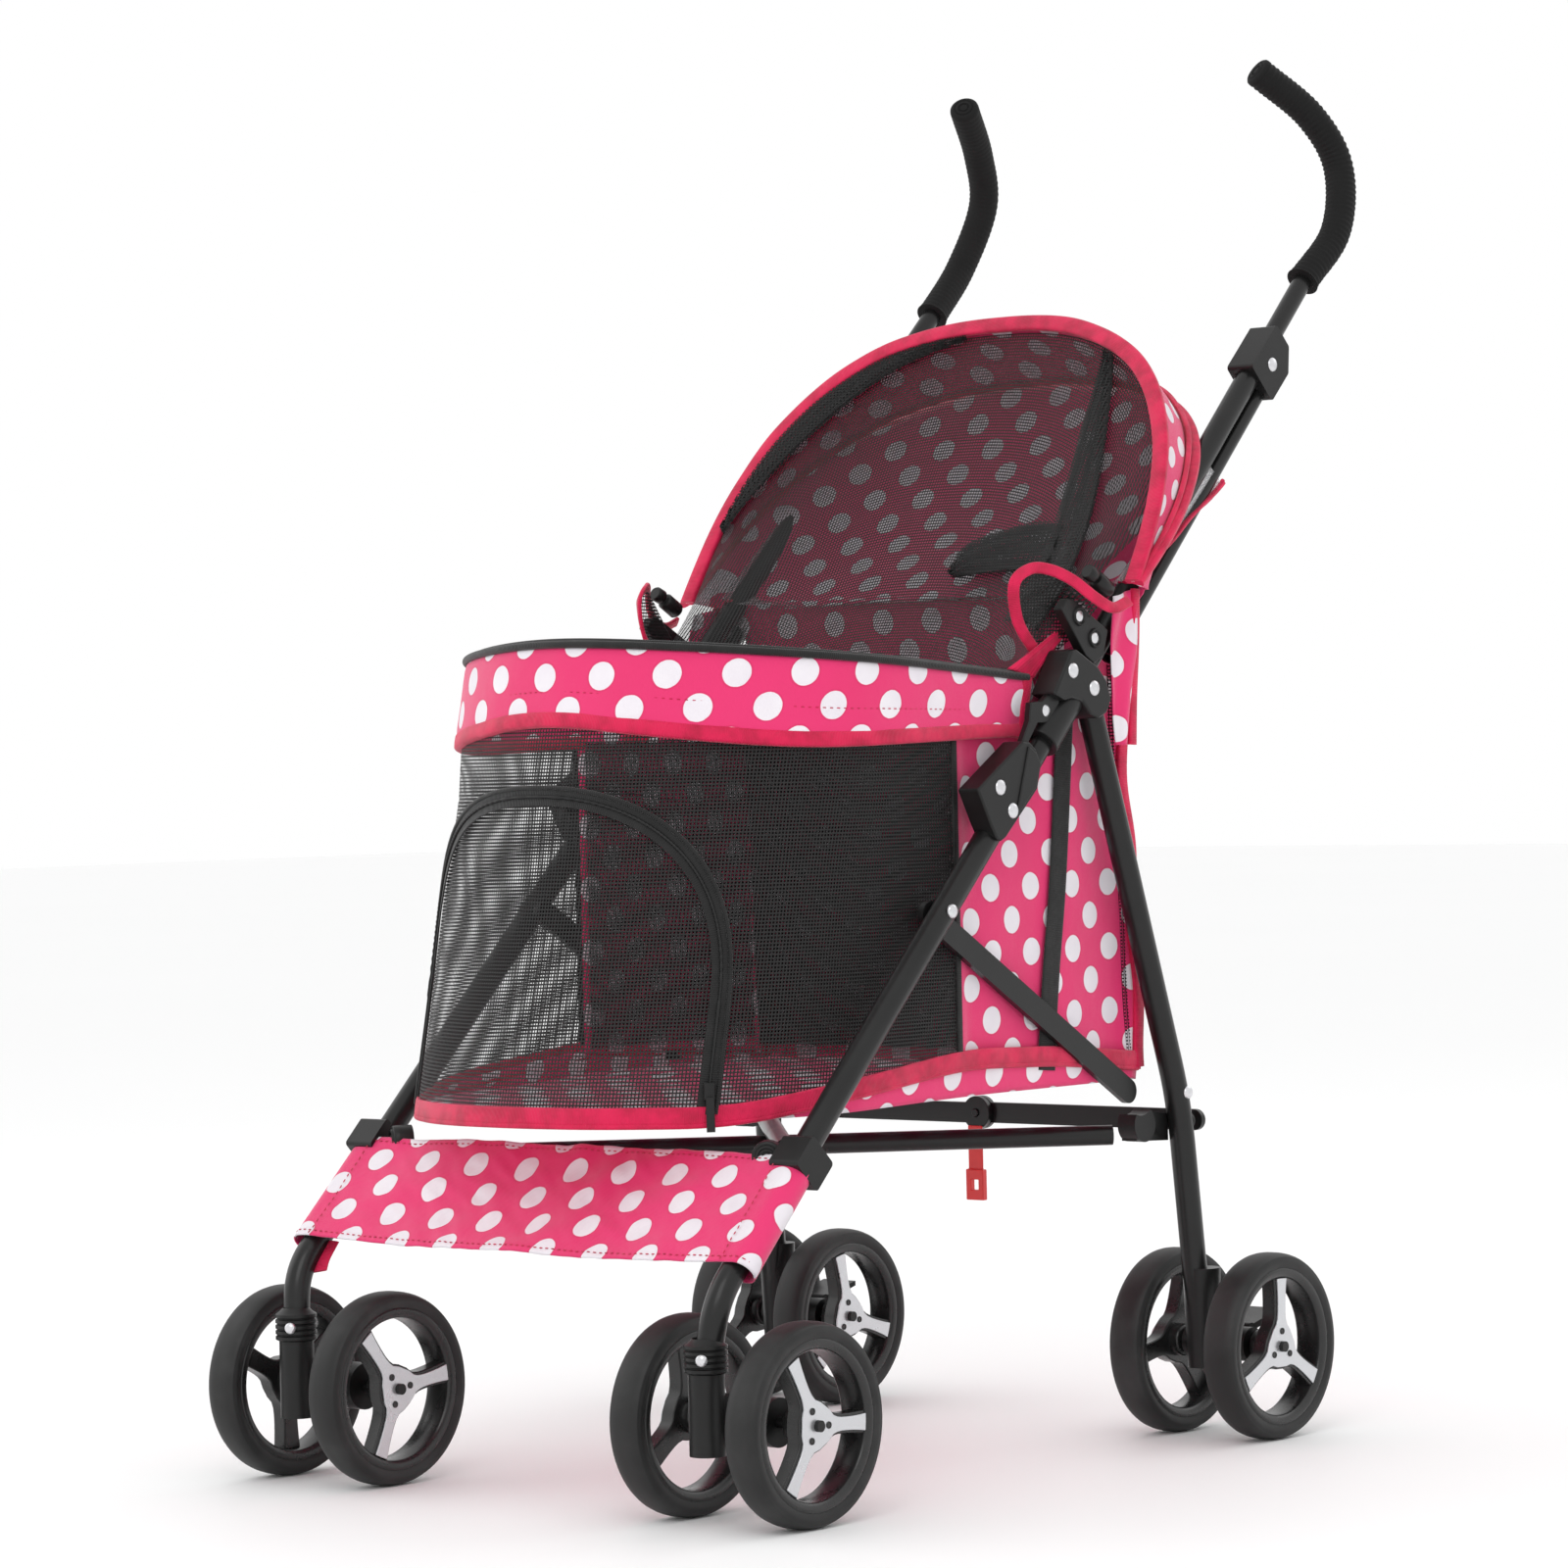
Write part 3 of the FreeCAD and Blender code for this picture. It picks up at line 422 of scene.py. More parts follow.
def smooth(points, count=12):
    points = [Vector(p) for p in points]
    ends = [2 * points[0] - points[1], *points, 2 * points[-1] - points[-2]]
    found = []
    for a, b, c, d in zip(ends, ends[1:], ends[2:], ends[3:]):
        for k in range(count):
            u = k / count
            found.append(0.5 * (2 * b + (c - a) * u + (2 * a - 5 * b + 4 * c - d) * u * u + (3 * b - a - 3 * c + d) * u ** 3))
    return found + [points[-1]]


# quadratic B-spline: rounds each corner of a route from the middle of one run to the middle of the next
def rounded(points, count=12):
    points = [Vector(p) for p in points]
    found = [points[0]]
    for a, b, c in zip(points, points[1:], points[2:]):
        start = a if a is points[0] else (a + b) / 2
        end = c if c is points[-1] else (b + c) / 2
        for k in range(1, count + 1):
            u = k / count
            found.append(start.lerp(b, u).lerp(b.lerp(end, u), u))
    return found


def lathe(name, profile, axis, centre, count=72, loop=True):
    axis = Vector(axis).normalized()
    a = axis.orthogonal().normalized()
    b = axis.cross(a)
    rows, uvs = [], []
    for i in range(count + 1):
        turn = 2 * math.pi * i / count
        out = a * math.cos(turn) + b * math.sin(turn)
        rows.append([Vector(centre) + out * r + axis * x for r, x in profile])
        uvs.append([(turn * 0.05, k * 0.004) for k in range(len(profile) + 1)])
    return grid(name, rows[:-1], uvs, wrap=loop, loop=True)


def lerp(a, b, u):
    return a + (b - a) * u


def ease(low, high, x):
    u = min(1.0, max(0.0, (x - low) / (high - low)))
    return u * u * (3 - 2 * u)


def chain(stops, x):
    for (a, low), (b, high) in zip(stops, stops[1:]):
        if x <= b:
            return lerp(low, high, min(1.0, max(0.0, (x - a) / (b - a))))
    return stops[-1][1]


# chain with its corners rounded over a short run either side
def glide(stops, x, blur=0.045):
    return sum(chain(stops, abs(x + blur * k / 6)) for k in range(-6, 7)) / 13


# cabin walls: distance runs from the middle of the front, right-hand side positive
floorLow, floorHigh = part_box("cabin_floor")
rimLow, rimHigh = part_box("rim_band")
cabin = {
    "half": floorHigh.x, "low": 0.272, "tall": 0.332, "frontLow": floorLow.y, "frontLean": 0.069,
    "rear": [(0.28, 0.118), (0.568, 0.105), (0.604, 0.104), (0.643, 0.104)], "seamY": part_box("cabin_mesh")[1].y,
    "hem": [(0, 0.271), (0.175, 0.270), (0.255, 0.282), (0.399, 0.298), (0.510, 0.294), (0.612, 0.284)],
    "bandLow": [(0, 0.549), (0.105, 0.536), (0.200, 0.527), (0.402, 0.533)], "bandDrop": 0.08, "bandTop": rimHigh.z + 0.001,
    "sideTop": [(-0.097, 0.535), (-0.021, 0.566), (0.03, 0.592), (0.075, 0.604), (0.12, 0.612)],
    "netSag": 0.005, "bandEnd": 0.415,
}


def centreY(z):
    return cabin["frontLow"] + cabin["frontLean"] * (z - cabin["low"]) / cabin["tall"] + cabin["half"]


quarter = cabin["half"] * math.pi / 2


def wall(s, z, out=0.0):
    radius = cabin["half"] + out
    turn = min(abs(s) / cabin["half"], math.pi / 2)
    y = centreY(z) - radius * math.cos(turn) + max(0.0, abs(s) - quarter)
    return Vector((math.copysign(radius * math.sin(turn), s), y, z))


def reach(y, z):
    return quarter + y - centreY(z)


def hem(s):
    return glide(cabin["hem"], abs(s), 0.03)


def bandLow(s):
    return glide(cabin["bandLow"], abs(s))


def bandTop(s):
    return cabin["bandTop"] - cabin["bandDrop"] * (math.hypot(s, 0.06) - 0.045)


# a strip of tape that follows a route of (distance, height) pairs on the wall
def tape(name, route, width, thick, out, slot="crimson_fabric", body="cabin", wave=0.0, section=None):
    path, across = [], []
    for i, (s, z) in enumerate(route):
        before, after = route[max(0, i - 1)], route[min(len(route) - 1, i + 1)]
        ds, dz = after[0] - before[0], after[1] - before[1]
        size = math.hypot(ds, dz)
        path.append(wall(s, z, out + wave * noise.noise(Vector((s * 40, z * 40, 1.7)))))
        across.append((wall(s - dz / size * 0.001, z + ds / size * 0.001, out) - wall(s, z, out)).normalized())
    return settle(sweep(name, path, section or flat(width, thick), across), body, slot)


def line(first, last, count):
    return [tuple(lerp(a, b, k / count) for a, b in zip(first, last)) for k in range(count + 1)]


def stitches(name, path, normal, pitch=0.0055, length=0.0034, width=0.0007):
    points, faces = [], []
    run, need = 0.0, 0.0
    for a, b in zip(path, path[1:]):
        gap = (b - a).length
        while gap and need <= run + gap:
            spot = a.lerp(b, (need - run) / gap)
            along = (b - a).normalized() * length / 2
            out = normal(spot).normalized() if callable(normal) else Vector(normal)
            side = along.cross(out).normalized() * width / 2
            start = len(points)
            points += [spot - along, spot - along * 0.6 + out * width * 0.8 + side, spot - along * 0.6 + out * width * 0.8 - side,
                       spot + along * 0.6 + out * width * 0.8 + side, spot + along * 0.6 + out * width * 0.8 - side,
                       spot + along, spot - side * 1.2, spot + side * 1.2]
            faces += [tuple(start + k for k in f) for f in ((0, 1, 2), (1, 3, 4, 2), (5, 4, 3), (0, 7, 5, 3, 1), (0, 2, 4, 5, 6), (0, 6, 5, 7))]
            need += pitch
        run += gap
    return build(name, points, faces)


door = {"half": 0.158, "legTop": 0.350, "crown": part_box("front_door")[1].z, "power": 2.3, "tapeWide": 0.0065, "foot": 0.274}


def doorEdge(z):
    up = (z - door["legTop"]) / (door["crown"] - door["legTop"])
    return 0.0 if up >= 1 else door["half"] * (1 - max(0.0, up) ** door["power"]) ** (1 / door["power"])


def doorRoute(grow=0.0, count=44):
    half, crown = door["half"] + grow, door["crown"] + grow
    route = [(-half, lerp(door["foot"], door["legTop"], k / 12)) for k in range(12)]
    for k in range(count + 1):
        turn = math.pi * k / count
        c, s = math.cos(turn), math.sin(turn)
        route.append((-half * math.copysign(abs(c) ** (2 / door["power"]), c),
                      door["legTop"] + (crown - door["legTop"]) * s ** (2 / door["power"])))
    return route + [(half, lerp(door["legTop"], door["foot"], (k + 1) / 12)) for k in range(12)]


def makeCabinNet():
    up, across = 56, 46
    for side, sign in (("left", -1), ("right", 1)):
        rows, uvs = [], []
        for i in range(up + 1):
            row, places = [], []
            for k in range(across + 1):
                s = 0.3
                for _ in range(5):
                    z = lerp(hem(s), bandLow(s) + 0.008, i / up)
                    s = lerp(doorEdge(z), reach(cabin["seamY"], z), k / across)
                dip = cabin["netSag"] * math.sin(math.pi * i / up) * math.sin(math.pi * k / across)
                dip += 0.0015 * noise.noise(Vector((s * 14, z * 14, 3 * sign)))
                row.append(wall(sign * s, z, -max(0.0, dip)))
                places.append((sign * s, z))
            rows.append(row)
            uvs.append(places)
        piece = settle(grid(side + "_cabin_net", rows, uvs), "cabin", "black_mesh", *(["cabin_mesh"] if sign > 0 else []))


def makeDoor():
    rows, uvs, up, across = [], [], 44, 40
    for i in range(up + 1):
        z = lerp(door["foot"], door["crown"] - 0.0006, 1 - (1 - i / up) ** 1.5)
        s = doorEdge(z)
        places = [(lerp(-s, s, k / across), z) for k in range(across + 1)]
        rows.append([wall(a, b, -0.004 * math.sin(math.pi * i / up) * math.cos(a / door["half"] * 1.5)) for a, b in places])
        uvs.append(places)
    piece = settle(grid("door_net", rows, uvs), "front_door", "black_mesh", "front_door")
    wide = door["tapeWide"]
    tape("door_zip_tape", doorRoute(-wide / 2), wide, 0.0014, 0.0008, "black_webbing", "front_door")
    tape("cabin_zip_tape", doorRoute(wide / 2), wide, 0.0014, 0.0010, "black_webbing")
    tape("zip_piping", doorRoute(wide), 0, 0, 0.0018, "black_webbing", section=ring(0.0016, 10))
    route = doorRoute(0.0, 400)
    pitch = 0.0016
    path = [wall(s, z, 0.0022) for s, z in route]
    coil = sweep("zip_coil", path, ring(0.0013, 8), grow=lambda run: 0.82 + 0.18 * math.cos(2 * math.pi * run / pitch))
    settle(coil, "cabin", "joint_plastic")
    # puller at the foot of the right-hand leg
    foot = wall(door["half"], door["foot"] + 0.016, 0.004)
    body = sweep("zip_slider", [foot + Vector((0, 0, z)) for z in (-0.006, -0.004, 0.004, 0.006)], flat(0.008, 0.004),
                 [Vector((0.6, 0.8, 0))] * 4)
    settle(body, "cabin", "joint_plastic", bevel=0.0006)
    out = (wall(door["half"], door["foot"], 0.01) - wall(door["half"], door["foot"])).normalized()
    pull = sweep("zip_pull", [foot + out * (0.003 + 0.002 * k / 6) - Vector((0, 0, 0.004 + 0.024 * k / 6)) for k in range(7)],
                 flat(0.006, 0.0018), [Vector((0.8, 0.6, 0))] * 7)
    settle(pull, "cabin", "joint_plastic")


def makeBand():
    rows, uvs, count, around = [], [], 170, 20
    for i in range(count + 1):
        s = lerp(-cabin["bandEnd"], cabin["bandEnd"], i / count)
        low, high = bandLow(s), bandTop(s)
        row, places = [], []
        for k in range(around):
            c, v = math.cos(2 * math.pi * k / around), math.sin(2 * math.pi * k / around)
            v = math.copysign(abs(v) ** 0.55, v)
            z = lerp(low, high, (v + 1) / 2)
            full = 0.0042 - 0.0012 * math.exp(-((z - lerp(low, high, 0.42)) / 0.004) ** 2)
            out = 0.0008 + full * math.copysign(abs(c) ** 0.55, c)
            out += 0.0012 * noise.noise(Vector((s * 30, z * 26, 0.4))) * max(0.0, c)
            row.append(wall(s, z, out))
            places.append((s, z - 0.004))
        rows.append(row)
        uvs.append(places + [places[0]])
    piece = settle(grid("rim_band_cover", rows, uvs, wrap=True, caps=True), "cabin", "dotted_fabric", "rim_band")
    ends = cabin["bandEnd"]
    around = [lerp(-ends, ends, k / 150) for k in range(151)]
    tape("rim_band_binding", [(s, bandLow(s) + 0.004) for s in around], 0.0115, 0.0098, 0.0009, wave=0.0006)
    settle(stitches("rim_band_stitches", [wall(s, lerp(bandLow(s), bandTop(s), 0.42), 0.0042) for s in around],
                    lambda p: Vector((p.x, p.y - centreY(p.z) if p.y < centreY(p.z) else 0, 0))), "cabin", "crimson_fabric")
    for name, out, lift in (("outer", 0.0046, 0.0006), ("inner", -0.0006, 0.0022)):
        tape("rim_zip_" + name, [(s, bandTop(s) + lift) for s in around], 0, 0, out, "black_webbing", section=ring(0.0028, 14))
    for side, sign in (("left", -1), ("right", 1)):
        s = sign * ends
        tape(side + "_band_end_binding", line((s, bandLow(s) - 0.002), (s, bandTop(s) + 0.001), 14), 0.012, 0.0104, 0.0008,
             wave=0.0006)


def makeHem():
    count = 190
    route = [(s, hem(s) + 0.003) for s in (lerp(-0.606, 0.606, k / count) for k in range(count + 1))]
    rows, uvs = [], []
    for s, top in route:
        low = 0.2690 + 0.004 * ease(0.2, 0.45, abs(s))
        places = [(s, lerp(low, top, k / 6)) for k in range(7)]
        rows.append([wall(a, z, -0.0012) for a, z in places])
        uvs.append(places)
    settle(grid("cabin_foot_strip", rows, uvs), "cabin", "dotted_fabric", thick=0.0010)
    tape("cabin_hem_binding", route, 0.0125, 0.0034, 0.0006, wave=0.0010)
    tape("cabin_hem_piping", [(s, z - 0.0068) for s, z in route], 0, 0, 0.0002, section=ring(0.0021, 10), wave=0.0010)


def sidePoint(sign, y, z, out=0.0):
    ripple = 0.0035 * noise.noise(Vector((y * 17, z * 9, 5 * sign))) - 0.003
    edge = ease(-0.097, -0.08, y) * ease(0.12, 0.095, y)
    return Vector((sign * (cabin["half"] - 0.0008 + ripple * edge + out), y, z))


def makeSides():
    for side, sign in (("left", -1), ("right", 1)):
        rows, uvs, up, across = [], [], 60, 40
        for i in range(up + 1):
            row, places = [], []
            for k in range(across + 1):
                y = lerp(cabin["seamY"], 0.108, k / across)
                z = lerp(hem(reach(y, 0.29)) - 0.001, chain(cabin["sideTop"], y), i / up)
                y = lerp(cabin["seamY"], chain(cabin["rear"], z), k / across)
                row.append(sidePoint(sign, y, z))
                places.append((sign * y + 0.008, z + 0.010))
            rows.append(row)
            uvs.append(places)
        piece = settle(grid(side + "_side_panel", rows, uvs), "cabin", "dotted_fabric",
                       *(["cabin_panel"] if sign > 0 else []), thick=0.0010)
        heights = [lerp(0.282, 0.606, k / 50) for k in range(51)]
        edge = [sidePoint(sign, chain(cabin["rear"], z) + 0.002 * math.sin(z * 60), z, 0.001) for z in heights]
        settle(sweep(side + "_rear_binding", edge, flat(0.011, 0.0042), [Vector((0, 1, 0))] * 51), "cabin", "crimson_fabric")
        seam = [sidePoint(sign, cabin["seamY"] - 0.001, lerp(0.298, 0.536, k / 30), 0.001) for k in range(31)]
        settle(sweep(side + "_seam_binding", seam, flat(0.006, 0.0026), [Vector((0, 1, 0))] * 31), "cabin", "black_webbing")
        strap = smooth([sidePoint(sign, y, z, 0.0022) for y, z in
                        ((0.036, 0.545), (0.030, 0.49), (0.020, 0.42), (0.012, 0.36), (0.006, 0.31), (0.004, 0.286))], 10)
        settle(sweep(side + "_side_strap", strap, flat(0.020, 0.0018), [Vector((0, 1, 0))] * len(strap)), "cabin",
               "black_webbing")
    rows, uvs = [], []
    for i in range(57):
        z = lerp(0.280, 0.643, i / 56)
        row, places = [], []
        for k in range(49):
            x = lerp(-1, 1, k / 48)
            bulge = 0.010 * (1 - x * x) * math.sin(math.pi * min(1.0, (z - 0.28) / 0.40)) ** 0.7
            bulge += 0.003 * noise.noise(Vector((x * 3, z * 9, 9.1)))
            wide = cabin["half"] - 0.001 + 0.026 * ease(0.610, 0.643, z)
            row.append(Vector((x * wide, chain(cabin["rear"], z) + bulge, z)))
            places.append((x * wide, z))
        rows.append(row)
        uvs.append(places)
    piece = settle(grid("cabin_back", rows, uvs), "cabin", "dotted_fabric", thick=0.0010)
    # two extra black net layers inside the back panel: painted shade that darkens the inside of the cabin seen through
    # the net
    for layer in range(2):
        shade_layer_rows = [[p + Vector((0, -0.010 - 0.003 * layer, 0)) for p in row] for row in rows[2:48]]
        settle(grid(f"cabin_back_shade_net_{layer}", shade_layer_rows, [[(x + 0.0011 * layer, z) for x, z in row] for row in uvs[2:48]]),
               "cabin", "black_mesh")
    # black net layers inside the side panels: painted shade that darkens the inside of the cabin seen through the net
    for side, sign in (("left", -1), ("right", 1)):
        rows = [[sidePoint(sign, lerp(cabin["seamY"] + 0.004, 0.095, k / 24), lerp(0.30, 0.535, i / 30), -0.004)
                 for k in range(25)] for i in range(31)]
        settle(grid(side + "_side_shade_net", rows, [[(p.y, p.z) for p in row] for row in rows]), "cabin", "black_mesh")


def makeFloor():
    rows, uvs, count, around = [], [], 60, 34
    front, back = cabin["frontLow"] + 0.004, 0.116
    centre = centreY(cabin["low"])
    for i in range(count + 1):
        y = lerp(front, back, (1 - math.cos(math.pi * i / count)) / 2)
        wide = cabin["half"] - 0.003
        if y < centre:
            wide = math.sqrt(max(1e-6, wide ** 2 - (centre - y) ** 2))
        row, places = [], []
        for k in range(around):
            c, v = math.cos(2 * math.pi * k / around), math.sin(2 * math.pi * k / around)
            x = wide * math.copysign(abs(c) ** 0.5, c)
            middle = (1 - (x / cabin["half"]) ** 2) * math.sin(math.pi * i / count)
            rise = chain([(-0.4, 0.0), (-0.19, 0.0), (-0.10, 0.006), (0.02, 0.008), (0.12, 0.004)], y)
            top = 0.279 + rise + 0.004 * noise.noise(Vector((x * 16, y * 16, 2))) * middle
            low = 0.2695 + rise * 0.5 - 0.0055 * middle
            row.append(Vector((x, y, lerp(low, top, (math.copysign(abs(v) ** 0.6, v) + 1) / 2))))
            places.append((x + 0.01, y))
        rows.append(row)
        uvs.append(places + [places[0]])
    piece = settle(grid("floor_mat", rows, uvs, wrap=True, caps=True), "cabin", "dotted_fabric", "cabin_floor")


makeCamera()
makeCabinNet()
makeDoor()
makeBand()
makeHem()
makeSides()
makeFloor()
print("cabin done")

hood = {
    "y": 0.071, "z": 0.641, "half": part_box("hood_front")[1].x, "tall": 0.247, "lift": 0.0046, "power": 2.5,
    "tilt": 31.0, "fan": 14.0, "step": 0.0018, "binding": 0.0135,
}


def arch(turn, tilt, grow=0.0, inset=0.0):
    c, s = math.cos(turn), math.sin(turn)
    x = -(hood["half"] + grow - inset) * math.copysign(abs(c) ** (2 / hood["power"]), c)
    rise = hood["lift"] + (hood["tall"] + grow - inset) * s ** (2 / hood["power"])
    angle = math.radians(tilt)
    return Vector((x, hood["y"] + rise * math.sin(angle), hood["z"] + rise * math.cos(angle)))


def turns(count, start=0.0):
    return [math.radians(lerp(start, 180 - start, k / count)) for k in range(count + 1)]


def makeFan(name, body, start, sweepAngle, inset, replaced, slot="dotted_fabric"):
    rows, uvs, run = [], [], 0.0
    steps = turns(110)
    for i, turn in enumerate(steps):
        run += (arch(turn, start) - arch(steps[i - 1], start)).length if i else 0.0
        size = (arch(turn, start) - Vector((0, hood["y"], hood["z"]))).length
        rows.append([arch(turn, start + sweepAngle * k / 12, inset=inset) for k in range(13)])
        uvs.append([(run, math.radians(sweepAngle) * k / 12 * size) for k in range(13)])
    piece = settle(grid(name, rows, uvs), body, slot, replaced, thick=0.0009)
    return piece


def archTape(name, tilt, grow, width, thick, body, slot="crimson_fabric", start=0.0, turned=0.0):
    path, across = [], []
    angle = math.radians(tilt)
    normal = Vector((0, math.cos(angle), -math.sin(angle)))
    steps = turns(150, start)
    for i, turn in enumerate(steps):
        wave = 0.0012 * noise.noise(Vector((turn * 5, tilt, 0.3)))
        path.append(arch(turn, tilt, grow=grow + wave))
        tangent = arch(min(math.pi, turn + 0.01), tilt) - arch(max(0.0, turn - 0.01), tilt)
        side = tangent.cross(normal).normalized()
        across.append((side * math.cos(turned) + normal * math.sin(turned)).normalized())
    return settle(sweep(name, path, flat(width, thick), across), body, slot)


def makeHood():
    tilt, fan, step = hood["tilt"], hood["fan"], hood["step"]
    front = makeFan("hood_front_cover", "hood", tilt, fan, 0.0006, "hood_front")
    pleat = makeFan("hood_pleat_cover", "hood_pleat", tilt + 1, fan, step + 0.0006, "hood_pleat")
    archTape("hood_front_binding", tilt - 0.6, -0.0020, hood["binding"], 0.0056, "hood")
    archTape("hood_front_seam", tilt + fan + 0.2, 0.0022, 0.0042, 0.0042, "hood", turned=0.6)
    archTape("hood_pleat_binding", tilt + 1 + fan, -0.0046, 0.0044, 0.0030, "hood_pleat")
    archTape("hood_rear_binding", tilt + fan + 3.4, 0.0016, 0.0120, 0.0056, "cabin", turned=0.35)
    rows, uvs = [], []
    angle = math.radians(tilt + fan + 2)
    away = Vector((0, math.cos(angle), -math.sin(angle)))
    for turn in turns(64):
        top = arch(turn, tilt + fan + 2, inset=2 * step)
        base = Vector((top.x * 0.97, hood["y"] + 0.034, hood["z"] - 0.002))
        row = [base.lerp(top, k / 40) for k in range(41)]
        row = [p + away * (0.012 * math.sin(math.pi * k / 40) * math.sin(turn) + 0.003 * noise.noise(p * 11))
               for k, p in enumerate(row)]
        rows.append(row)
        uvs.append([(p.x, (p - base).length) for p in row])
    piece = settle(grid("hood_back_cover", rows, uvs), "cabin", "dotted_fabric", "back_panel", thick=0.0009)


curtain = {"inner": 0.182, "footZ": 0.588, "backY": 0.046, "start": 7.0, "slack": 0.007}


# a spot on the curtain: turn goes round the arch, u from the arch down to the foot
def curtainPoint(turn, u, out=0.0):
    top = arch(turn, hood["tilt"] + 0.5, inset=0.008)
    c = math.cos(turn) / math.cos(math.radians(curtain["start"]))
    foot = Vector((-curtain["inner"] * math.copysign(abs(c) ** 0.75, c), curtain["backY"] - 0.075 * abs(c) ** 3,
                   curtain["footZ"] - 0.012 * abs(c)))
    p = top.lerp(foot, u)
    p.x = lerp(top.x, foot.x, 1 - (1 - u) ** 1.7)
    p.y += math.sin(math.pi * u) * (curtain["slack"] * math.sin(turn) + 0.002 + 0.003 * noise.noise(Vector((p.x * 7, p.z * 4, 4.2))))
    return p - Vector((0, out * 0.8, -out * 0.6))


def makeCurtain():
    rows, uvs = [], []
    steps = turns(90, curtain["start"])
    run = 0.0
    for i, turn in enumerate(steps):
        top = curtainPoint(turn, 0)
        run += (top - curtainPoint(steps[i - 1], 0)).length if i else 0.0
        row = [curtainPoint(turn, k / 60) for k in range(61)]
        places = [(p.x * 1.05, (p - top).length) for p in row]
        rows.append(row)
        uvs.append(places)
    piece = settle(grid("hood_net_curtain", rows, uvs), "hood", "black_mesh")


# doubled net where the curtain is gathered: (turn, u) of one edge and of the other
folds = {
    "right_net_fold": (((119, 0.01), (121, 0.20), (124, 0.42), (127, 0.60), (126, 0.76), (122, 0.86)),
                       ((122, 0.01), (131, 0.20), (141, 0.36), (151, 0.50), (160, 0.64), (164, 0.80))),
    "left_net_fold": (((12, 0.01), (30, 0.01), (46, 0.01), (60, 0.01), (74, 0.01), (86, 0.01)),
                      ((15, 0.12), (29, 0.15), (44, 0.13), (58, 0.09), (72, 0.05), (85, 0.02))),
    "net_crescent": (((96, 0.735), (98, 0.66), (104, 0.62), (112, 0.585), (122, 0.55), (131, 0.53)),
                     ((97, 0.745), (102, 0.735), (108, 0.725), (115, 0.71), (124, 0.70), (132, 0.69))),
}


def makeFolds():
    for name, edges in folds.items():
        sides = [smooth([(math.radians(turn), u, 0) for turn, u in edge], 10) for edge in edges]
        for layer in range(3):
            rows, uvs = [], []
            for i, (a, b) in enumerate(zip(*sides)):
                row, places = [], []
                for k in range(19):
                    turn, u, _ = a.lerp(b, k / 18)
                    crease = 0.0012 * math.sin(k * 0.9 + layer) + 0.0010 * noise.noise(Vector((i * 0.1, k * 0.2, layer)))
                    row.append(curtainPoint(turn, u, 0.0030 + 0.0016 * layer + crease))
                    places.append((row[-1].x * 1.05 + 0.0009 * layer, row[-1].z * 1.1 + 0.0007 * layer))
                rows.append(row)
                uvs.append(places)
            settle(grid(f"{name}_{layer}", rows, uvs), "hood", "black_mesh")


wing = [(0.184, 0.012, 0.586), (0.184, -0.002, 0.597), (0.184, -0.019, 0.617), (0.185, -0.023, 0.643), (0.190, -0.010, 0.654),
        (0.199, 0.003, 0.653), (0.210, 0.015, 0.645), (0.218, 0.029, 0.633), (0.2225, 0.046, 0.625), (0.2240, 0.064, 0.630)]
skirt = {"front": [(0.0665, 0.634), (0.060, 0.600), (0.0645, 0.560), (0.068, 0.524)],
         "rear": [(0.094, 0.640), (0.092, 0.600), (0.088, 0.560), (0.086, 0.524)], "out": 0.2075}


